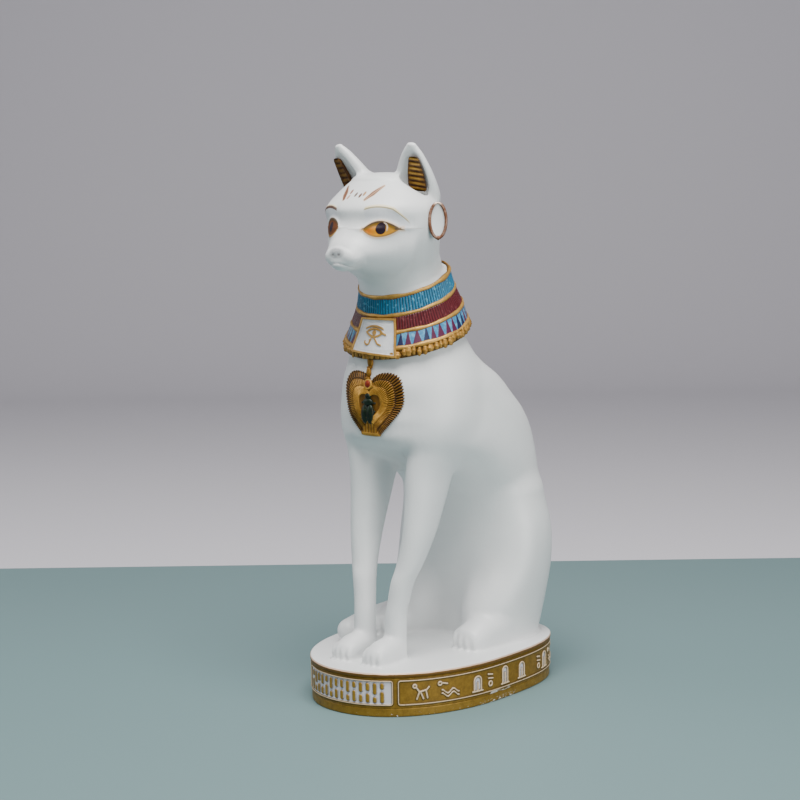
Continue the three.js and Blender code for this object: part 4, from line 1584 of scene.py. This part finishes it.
def ear_lining(hand):
    """Rings round a flat blade: t = cos of the turn goes across, the depth is the hollow's back
    wall, 1 - t squared to the half, and the front side is lifted by ribs, a sine of the climb."""
    narrow, outward, brightness = LINING_FIT[hand]
    climb = np.linspace(LINING_START, LINING_END, 72)[:, None]
    turn = full_turn(48)[None]
    rows = np.array(EAR_HOLLOW)
    half, back = (np.interp(climb, rows[:, 0], rows[:, k]) for k in (1, 3))
    t = np.cos(turn) * 0.99
    wall = HOLLOW_FORWARD - back * np.sqrt(1 - t ** 2)
    ends = np.sqrt(ramp(climb - LINING_START, 0.05)) * np.sqrt(ramp(LINING_END - climb, 0.05))
    wave_turn = 2 * np.pi * EAR_RIBS * (climb - LINING_START) / (LINING_END - LINING_START)
    ribs = 0.5 + 0.5 * np.cos(wave_turn)
    front = np.maximum(np.sin(turn), 0)
    lift = front * (0.45 + 0.4 * (1 - ribs ** 2)) - 0.7 * np.maximum(-np.sin(turn), 0)
    travel = unit(EAR_TIP - EAR_BASE)
    across = np.array(EAR_ACROSS)
    side = unit(across - travel * (across @ travel))
    beside = half * narrow * ends ** 0.3 * t + outward * (1 - 0.45 * climb)
    points = EAR_BASE + (EAR_TIP - EAR_BASE) * climb[..., None]
    points = points + EAR_FACING * (wall + lift * ends)[..., None] + side * beside[..., None]
    points[..., 0] *= hand
    height = (0.02 + 0.8 * (1 - ribs) * front * ramp(0.97 - np.abs(t), 0.1)) * brightness
    return closed_tube(placed(points)), np.append(height.ravel(), [0.2, 0.2])


ear_gold = gold_material("gold paint in the ears", *EAR_GOLD)
for hand, side_name in HANDS:
    lining, lining_heights = ear_lining(hand)
    add_piece(f"ear_lining_{side_name}", lining, ear_gold, {"height": lining_heights})

# %% [markdown]
# ## Earrings
# A closed hoop stands out beside each cheek, cast with the head: a brown gold wire bent to an oval
# and fastened by a small knot below, with plain white between. The wire is a circle carried round
# the oval, and the white is a shallow dish inside it that tapers to the cheek.

# %% Hoops
HOOP_REACH = (2.85, 6.05)  # half the oval across and up
HOOP_PLACE = (23.3, -20.4, 157)
HOOP_TURN = 0.75  # radians, from facing forward towards the side
WIRE_RADIUS = 0.56
HOOP_PROUD = 0.55  # how far forward of the oval's middle the wire lies
HOOP_BROWN = ((0.72, 0.55, 0.45), (0.17, 0.065, 0.03), (0.06, 0.022, 0.012))
DISH_SHARES = (0.4, 0.62, 0.82, 0.94, 0.97)  # of the hoop's reach, from the cheek to the dish's edge
DISH_DEPTHS = (-7.0, -5.2, -3.4, -1.8, -0.6)


def hoop_frame(hand):
    """Middle, the axis across the oval, and the way it faces."""
    x, y, z = HOOP_PLACE
    across = np.array([math.cos(HOOP_TURN), hand * math.sin(HOOP_TURN), 0.0])
    facing = np.array([hand * math.sin(HOOP_TURN), -math.cos(HOOP_TURN), 0.0])
    return placed((hand * x, y, z)), across, facing


def hoop_wire(hand):
    """Oval of angle a with outward direction (cos, sin), carrying a circle of turn b. The wire is
    thicker at the knot below and thinner at the top."""
    middle, across, facing = hoop_frame(hand)
    a = full_turn(120)[None, :, None]
    b = full_turn(14)[:, None, None]
    outward = unit(across * np.cos(a) / HOOP_REACH[0] + UP * np.sin(a) / HOOP_REACH[1])
    line = across * HOOP_REACH[0] * np.cos(a) + UP * HOOP_REACH[1] * np.sin(a)
    top = bell(a - 0.5 * np.pi, 0.32)
    radius = WIRE_RADIUS * (1 + 0.5 * bell(a - 1.5 * np.pi, 0.12) - 0.4 * top)
    rod = radius * (outward * np.cos(b) + facing * np.sin(b))
    # Painted highlight through the heights: the wire is lighter on its front and at the top of the oval
    height = (0.28 + 0.2 * np.sin(b) + 0.7 * top)[..., 0]
    return closed_ring(middle + line + facing * HOOP_PROUD + rod), height


def hoop_dish(hand):
    """The white oval inside the wire: rings that widen from the cheek to its slightly hollow front."""
    middle, across, facing = hoop_frame(hand)
    inwards = np.linspace(1, 0.06, 12)
    share = np.append(DISH_SHARES, np.linspace(DISH_SHARES[-1], 0.06, 12))[:, None, None]
    depth = np.append(DISH_DEPTHS, 0.1 + 0.35 * inwards ** 2)[:, None, None]
    a = full_turn(72)[None, :, None]
    return closed_tube(
        middle
        + across * HOOP_REACH[0] * share * np.cos(a)
        + UP * HOOP_REACH[1] * share * np.sin(a)
        + facing * depth
    )


hoop_brown = gold_material("brown gold wire", *HOOP_BROWN)
dish_white, _ = white_lacquer("white lacquer in the hoops")
for hand, side_name in HANDS:
    wire, wire_heights = hoop_wire(hand)
    add_piece(f"earring_wire_{side_name}", wire, hoop_brown, {"height": wire_heights})
    add_piece(f"earring_dish_{side_name}", hoop_dish(hand), dish_white.material)

# %% [markdown]
# ## The plaque
# A trapezoid plaque lies over the front of the collar: white, with a gold frame, a gold eye in low
# relief and two curls below it. It is a slab whose front follows the collar's curve, lifted by the
# relief; the same relief says where the gold goes. It hangs a little askew, as it was cast.

# %% Slabs
def slab(front, back):
    """Closes a front grid and a back grid of the same size into one skin, with walls between
    their edges."""
    rows, columns = front.shape[:2]
    row = np.arange(rows - 1)[:, None]
    column = np.arange(columns - 1)[None]
    here = row * columns + column
    face = np.stack([here, here + 1, here + columns + 1, here + columns], -1).reshape(-1, 4)
    count = rows * columns
    edge = np.concatenate([
        np.arange(columns - 1),
        np.arange(rows - 1) * columns + columns - 1,
        count - 1 - np.arange(columns - 1),
        (rows - 1 - np.arange(rows - 1)) * columns,
    ])
    after = np.roll(edge, -1)
    walls = np.stack([edge, edge + count, after + count, after], -1)
    points = np.vstack([front.reshape(-1, 3), back.reshape(-1, 3)])
    return points, [np.vstack([face, face[:, ::-1] + count, walls])]


def collar_front(x, z, proud):
    """The place on the front of the collar at x and z, in figure millimetres: the level and the
    angle are found by turns, the angle from x and the level from z less the slope's share."""
    level = np.full(np.broadcast_shapes(x.shape, z.shape), 3.0)
    for _ in range(12):
        _, _, half_x, half_y, slope = rim_numbers(level)
        sine = -np.sqrt(1 - (x / half_x) ** 2)
        level = np.interp(-(z - slope * half_y * sine), -COLLAR_RIMS[:, 1], np.arange(5))
    angle = np.arctan2(sine, x / half_x)
    return collar_place(level, angle, proud)


# %% Plaque relief
PLAQUE_TOP_HALF = 7.0
PLAQUE_BOTTOM_HALF = 9.7
PLAQUE_HEIGHT = 12.8
PLAQUE_BOTTOM = 110.3
PLAQUE_GROUND = 0.95  # how proud of the collar its white ground is
PLAQUE_FRAME = 0.75  # width of the frame
PLAQUE_PLACE = (0.9, -0.5)  # how far the plaque hangs to the cat's left, and up
PLAQUE_SAG = 0.075  # how steeply its foot falls to the cat's left
PLAQUE_WHITE = (0.84, 0.84, 0.82)
LAVENDER_WASH = (0.7, 0.7, 0.74)


def plaque_half(up):
    """Half the plaque's width at a share of the way up."""
    return PLAQUE_BOTTOM_HALF + (PLAQUE_TOP_HALF - PLAQUE_BOTTOM_HALF) * up


def plaque_gold(x, z):
    """How gold a place is, from 0 to 1, as two masks: the frame; and an almond eye with a round
    pupil, a brow over it and two curls below."""
    up = z - PLAQUE_BOTTOM
    beside = plaque_half(up / PLAQUE_HEIGHT) - np.abs(x)
    to_edge = np.minimum(beside, np.minimum(up, PLAQUE_HEIGHT - up))
    frame = rise(to_edge, PLAQUE_FRAME, 0.15)
    eye_x, eye_z = x + 0.2, z - 118.0
    almond = (np.abs(eye_z) - 1.4 * (1 - (eye_x / 3.4) ** 2)) * 0.8
    marks = [
        np.abs(np.where(np.abs(eye_x) < 4.2, almond, 2.0)),
        np.maximum(np.hypot(eye_x, eye_z) - 0.55, 0),
        bar(x, z, (2.4, 118.1), (4.4, 117.5)),
        bar(x, z, (-0.9, 116.3), (-1.5, 114.6)),
        np.abs(np.hypot(x + 2.55, z - 114.7) - 1.05) + np.where(z > 115.0, np.clip(-x - 1.6, 0, 9), 0),
        bar(x, z, (0.3, 116.1), (2.0, 114.2)),
        bar(x, z, (2.0, 114.2), (3.3, 113.9)),
    ]
    brow = np.abs(z - 120.3 + 0.07 * (x + 0.4) ** 2) + np.maximum(np.abs(x + 0.4) - 3.6, 0)
    strokes = np.maximum.reduce([rise(mark, 0.34, 0.14) for mark in marks] + [rise(brow, 0.36, 0.14)])
    return frame, strokes


def plaque_mesh():
    """Slab with its relief. It is hung to the side, and its foot falls towards the cat's left."""
    share = np.linspace(-1, 1, 190)[None]
    up = np.linspace(0, 1, 124)[:, None]
    x = share * plaque_half(up)
    z = PLAQUE_BOTTOM + PLAQUE_HEIGHT * up + 0 * share
    frame, strokes = plaque_gold(x, z)
    notch = 0.12 * rise(np.abs(z - 121.3), 0.18, 0.1) * rise(np.abs(x), 5.6)
    proud = PLAQUE_GROUND + 0.75 * frame + 0.5 * strokes - notch
    hung_x = x + PLAQUE_PLACE[0]
    hung_z = z + PLAQUE_PLACE[1] - PLAQUE_SAG * x * (1 - up)
    skin = slab(collar_front(hung_x, hung_z, proud), collar_front(hung_x, hung_z, -1.0))
    gold = np.maximum(frame, strokes).ravel()
    heights = np.append(0.25 + 0.5 * gold, np.zeros(gold.size))
    return skin, {"height": heights, "gilt": np.append(gold, np.ones(gold.size))}


def plaque_paint():
    """White lacquer with a pale lavender wash, and gold where the gilt attribute says."""
    finish, gold = gold_paint("white plaque with gold relief")
    wash = finish.noise(3.0).above(0.5, 0.4)
    white = finish.colour(PLAQUE_WHITE).painted(wash, LAVENDER_WASH)
    gilt = finish.attribute("gilt").above(0.45, 0.5)
    finish.feed("Base Color", white.painted(gilt, gold))
    finish.feed("Metallic", gilt * 0.3)
    return finish.material


plaque_skin, plaque_values = plaque_mesh()
add_piece("plaque", plaque_skin, plaque_paint(), plaque_values)

# %% [markdown]
# ## The winged scarab
# On the chest hangs a scarab with two raised wings that close into a heart. The heart's outline is
# a few curves, turned into a reach for each direction from its middle, so the whole jewel is one
# polar grid: rings for the rows of feathers, directions for the feathers themselves. Mesh booleans
# could cut the feathers one by one, but the grid keeps their edges even and its skin closed.

# %% Heart outline
HEART_HALF = 13.2
HEART_HEIGHT = 20.4
HEART_LOBE = 6.6
HEART_BOTTOM = 80.8
HEART_MIDDLE = 10.4  # from the bottom up
HEART_CENTRE = HEART_BOTTOM + HEART_MIDDLE
HEART_STEPS = 768
FEATHERS = 84
NOTCH_DEPTH = 0.045  # of the outline between feathers, as a share of the reach
WIDE_LOBE = 1.12  # how much wider the lobe on the cat's right is
JEWEL_GOLD = ((0.68, 0.37, 0.06), (0.2, 0.085, 0.005), (0.016, 0.006, 0.001))


def bezier(a, b, c, d, count=60):
    """Cubic curve: the corners weighted by the binomials of t and 1 - t."""
    t = np.linspace(0, 1, count)[:, None]
    a, b, c, d = (np.array(corner, float) for corner in (a, b, c, d))
    return (1 - t) ** 3 * a + 3 * t * (1 - t) ** 2 * b + 3 * t * t * (1 - t) * c + t ** 3 * d


def heart_reach(angle):
    """Distance from the middle to the outline in each direction, the angle counted from below. The
    curves run round the foot, up the side, over the lobe and down into the notch."""
    half, top, lobe = HEART_HALF, HEART_HEIGHT, HEART_LOBE
    curve = np.vstack([
        bezier((0, -0.2), (2.5, -0.2), (3.0, -0.2), (3.9, 0.0), 20),
        bezier((3.9, 0.3), (half * 0.62, 0.22 * top), (half, 0.42 * top), (half, 0.68 * top)),
        bezier((half, 0.68 * top), (half, top), (half * 0.85, top * 1.12), (lobe, top * 1.12)),
        bezier((lobe, top * 1.12), (lobe * 0.4, top * 1.12), (0, top * 1.02), (0, top * 0.9)),
    ])
    from_middle = curve - [0, HEART_MIDDLE]
    turn = np.arctan2(from_middle[:, 0], -from_middle[:, 1])
    order = np.argsort(turn)
    folded = np.abs((angle + np.pi) % (2 * np.pi) - np.pi)
    return np.interp(folded, turn[order], np.hypot(*from_middle.T)[order])


TORSO_RUN = smooth_run(TORSO, 8)


def chest_front(x, z, proud):
    """The place on the front of the chest at x and z, in figure millimetres: the torso's own
    superellipse solved for y, then moved forward by proud."""
    half, front, power, middle = (np.interp(z, TORSO_RUN[:, 2], TORSO_RUN[:, k]) for k in (3, 4, 6, 1))
    inside = np.clip(1 - (np.abs(x) / half) ** power, 0, 1) ** (1 / power)
    points = placed(np.stack([x, middle - front * inside, z + 0 * x], -1))
    points[..., 1] -= proud
    return points


# %% Wings
WING_GROUND = 0.42
FAN_TOP = 85.5
FAN_FOOT = 82.0  # the plain border below the tail fan


def wing_relief(share, angle, x, z):
    """Heights from 0 to 1 over the heart: three rows of feathers, each row lying over the next
    one out, with a groove between feathers and a rounded tip; smooth wing arms; a tail fan."""
    beat = np.abs(np.sin(angle * FEATHERS / 2))
    offset_beat = np.abs(np.cos(angle * FEATHERS / 2))
    rows = ((0.36, 0.6, beat, 0.95), (0.6, 0.8, offset_beat, 0.72), (0.8, 1.03, beat, 0.5))
    height = np.full(np.broadcast_shapes(share.shape, angle.shape), WING_GROUND)
    for start, stop, feather, level in rows:
        within = ramp(share - start, stop - start)
        tip = np.sqrt(1 - ramp(within - 0.7, 0.3) ** 2)
        row = level - 0.6 + 0.6 * feather ** 1.2 * tip
        height = np.where((share >= start) & (share < stop), row, height)
    arm = np.abs(np.hypot(x / 6.0, (z - 90.4) / 8.4) - 1) * 6.5
    arm_height = 0.7 * np.sqrt(np.clip(1 - (arm / 0.6) ** 2, 0, 1)) * ramp(z - 87.5, 3)
    height = np.maximum(height, arm_height)
    fan = (np.abs(x) < 1.6 + (FAN_TOP - z) * 0.6) & (z < FAN_TOP)
    fan_height = 0.55 + 0.25 * np.abs(np.cos(x * 2.6))
    fan_height = np.where(z < FAN_FOOT, 0.7, fan_height - 0.15)
    return np.where(fan, fan_height, height)


def pendant_mesh():
    """Front: rings of growing share of the reach. The edge then turns back into the chest."""
    angle = full_turn(HEART_STEPS)[None]
    share = np.linspace(0.015, 1.0, 74)[:, None]
    feathered = np.abs(angle - np.pi) < 2.75
    notched = 1 - NOTCH_DEPTH * np.abs(np.cos(angle * FEATHERS / 2)) ** 1.5 * feathered
    reach = heart_reach(angle) * (1 - (1 - notched) * share ** 6)
    x = share * reach * np.sin(angle)
    z = HEART_CENTRE - share * reach * np.cos(angle)
    height = wing_relief(share, angle, x, z)
    x = np.where(x < 0, x * WIDE_LOBE, x)
    edge = np.sqrt(ramp(1 - share, 0.05))
    front = chest_front(x, z, 0.35 + (0.15 + height) * (0.35 + 0.65 * edge))
    wall = chest_front(x[-1:], z[-1:], -1.0)
    inner = chest_front(x[-1:] * 0.1, HEART_CENTRE + (z[-1:] - HEART_CENTRE) * 0.1, -1.0)
    heights = np.append(height * 1.25 - 0.2, np.zeros(2 * HEART_STEPS + 2))
    return closed_tube(np.concatenate([front, wall, inner])), heights


pendant_gold = gold_material("gold paint on the scarab", *JEWEL_GOLD)
wings, wing_heights = pendant_mesh()
add_piece("pendant_wings", wings, pendant_gold, {"height": wing_heights})

# %% Scarab, disc and chain
JEWEL_SHIFT = -0.7  # the scarab and its chain sit a little to the cat's right
DISC_HEIGHT = 99.3
BEADS = (  # height, half width, half height
    (107.0, 1.25, 2.3), (103.2, 1.05, 1.9), (109.2, 1.35, 0.6), (105.0, 1.2, 0.5), (101.3, 1.2, 0.5),
)
GLAZE_GREEN = (0.002, 0.007, 0.003)
GLAZE_CLOUD = (0.006, 0.02, 0.008)
GOLD_SPECK = (0.3, 0.2, 0.06)
DISC_RED = (0.12, 0.008, 0.003)
DISC_LIGHT = (0.3, 0.035, 0.006)


def jewel(x, z, proud, reach, sides=40, rows=21):
    """A ball pressed on to the chest: centre on the chest's front moved out by proud."""
    middle = chest_front(np.array(float(x) + JEWEL_SHIFT), np.array(float(z)), proud)
    points, groups = pebble((0, 0, 0), (1, 1, 1), sides, rows)
    ball = (points - [0, 0, PLINTH_HEIGHT]) / FIGURE_SCALE
    return middle + ball * np.array(reach), groups


def scarab():
    """Wing cases left and right of a groove, thorax, head, and three pairs of legs."""
    parts = [jewel(hand * 1.15, 88.6, 1.0, (1.75, 1.25, 3.5)) for hand in (-1, 1)]
    parts += [jewel(0, 92.9, 1.1, (2.25, 1.15, 1.5)), jewel(0, 95.0, 1.0, (1.3, 1.0, 1.15))]
    for hand in (-1, 1):
        parts += [jewel(hand * 2.6, z, 0.9, (0.8, 0.5, 0.4), 12, 9) for z in (86.8, 89.6, 92.6)]
    return merged(parts)


def disc_ring():
    """Gold ring round the disc, lying on the chest: a circle carrying a small circle."""
    a = full_turn(60)[None]
    b = full_turn(12)[:, None]
    radius = 1.55 + 0.38 * np.cos(b)
    x = JEWEL_SHIFT + radius * np.sin(a)
    points = chest_front(x, DISC_HEIGHT + radius * np.cos(a), 1.15 + 0.4 * np.sin(b))
    return closed_ring(points), 0.55 + 0.35 * np.sin(b) + 0 * a


def scarab_glaze():
    """Near black green with a lighter cloud, and specks of gold left by the brush."""
    finish = Finish("dark green glaze")
    base = finish.colour(GLAZE_GREEN).painted(finish.noise(1.2, 3.0).above(0.55, 0.2), GLAZE_CLOUD)
    base = base.painted(finish.noise(0.5, 3.0).above(0.68, 0.05) * 0.6, GOLD_SPECK)
    finish.feed("Base Color", base)
    finish.sheen(finish.noise(0.8), 0.2, 0.3, 0.08, 0.2, 0.25)
    return finish.material


def disc_glaze():
    finish = Finish("red glaze")
    light = finish.noise(0.9).above(0.5, 0.3)
    finish.feed("Base Color", finish.colour(DISC_RED).painted(light, DISC_LIGHT))
    finish.sheen(finish.noise(0.8), 0.15, 0.3, 0.1, 0.2, 0.3)
    return finish.material


add_piece("scarab", scarab(), scarab_glaze())
add_piece("scarab_disc", jewel(0, DISC_HEIGHT, 1.35, (1.25, 0.75, 1.35)), disc_glaze())
disc_rim, disc_rim_heights = disc_ring()
add_piece("scarab_disc_ring", disc_rim, pendant_gold, {"height": disc_rim_heights})
# Two long beads between the plaque and the disc, with a small collar bead at each end
chain = merged([jewel(-0.9, z, 0.5, (wide, 0.85, tall), 20, 13) for z, wide, tall in BEADS])
add_piece("chain", chain, pendant_gold, {"height": 0.5})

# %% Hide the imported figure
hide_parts("cat_figure")
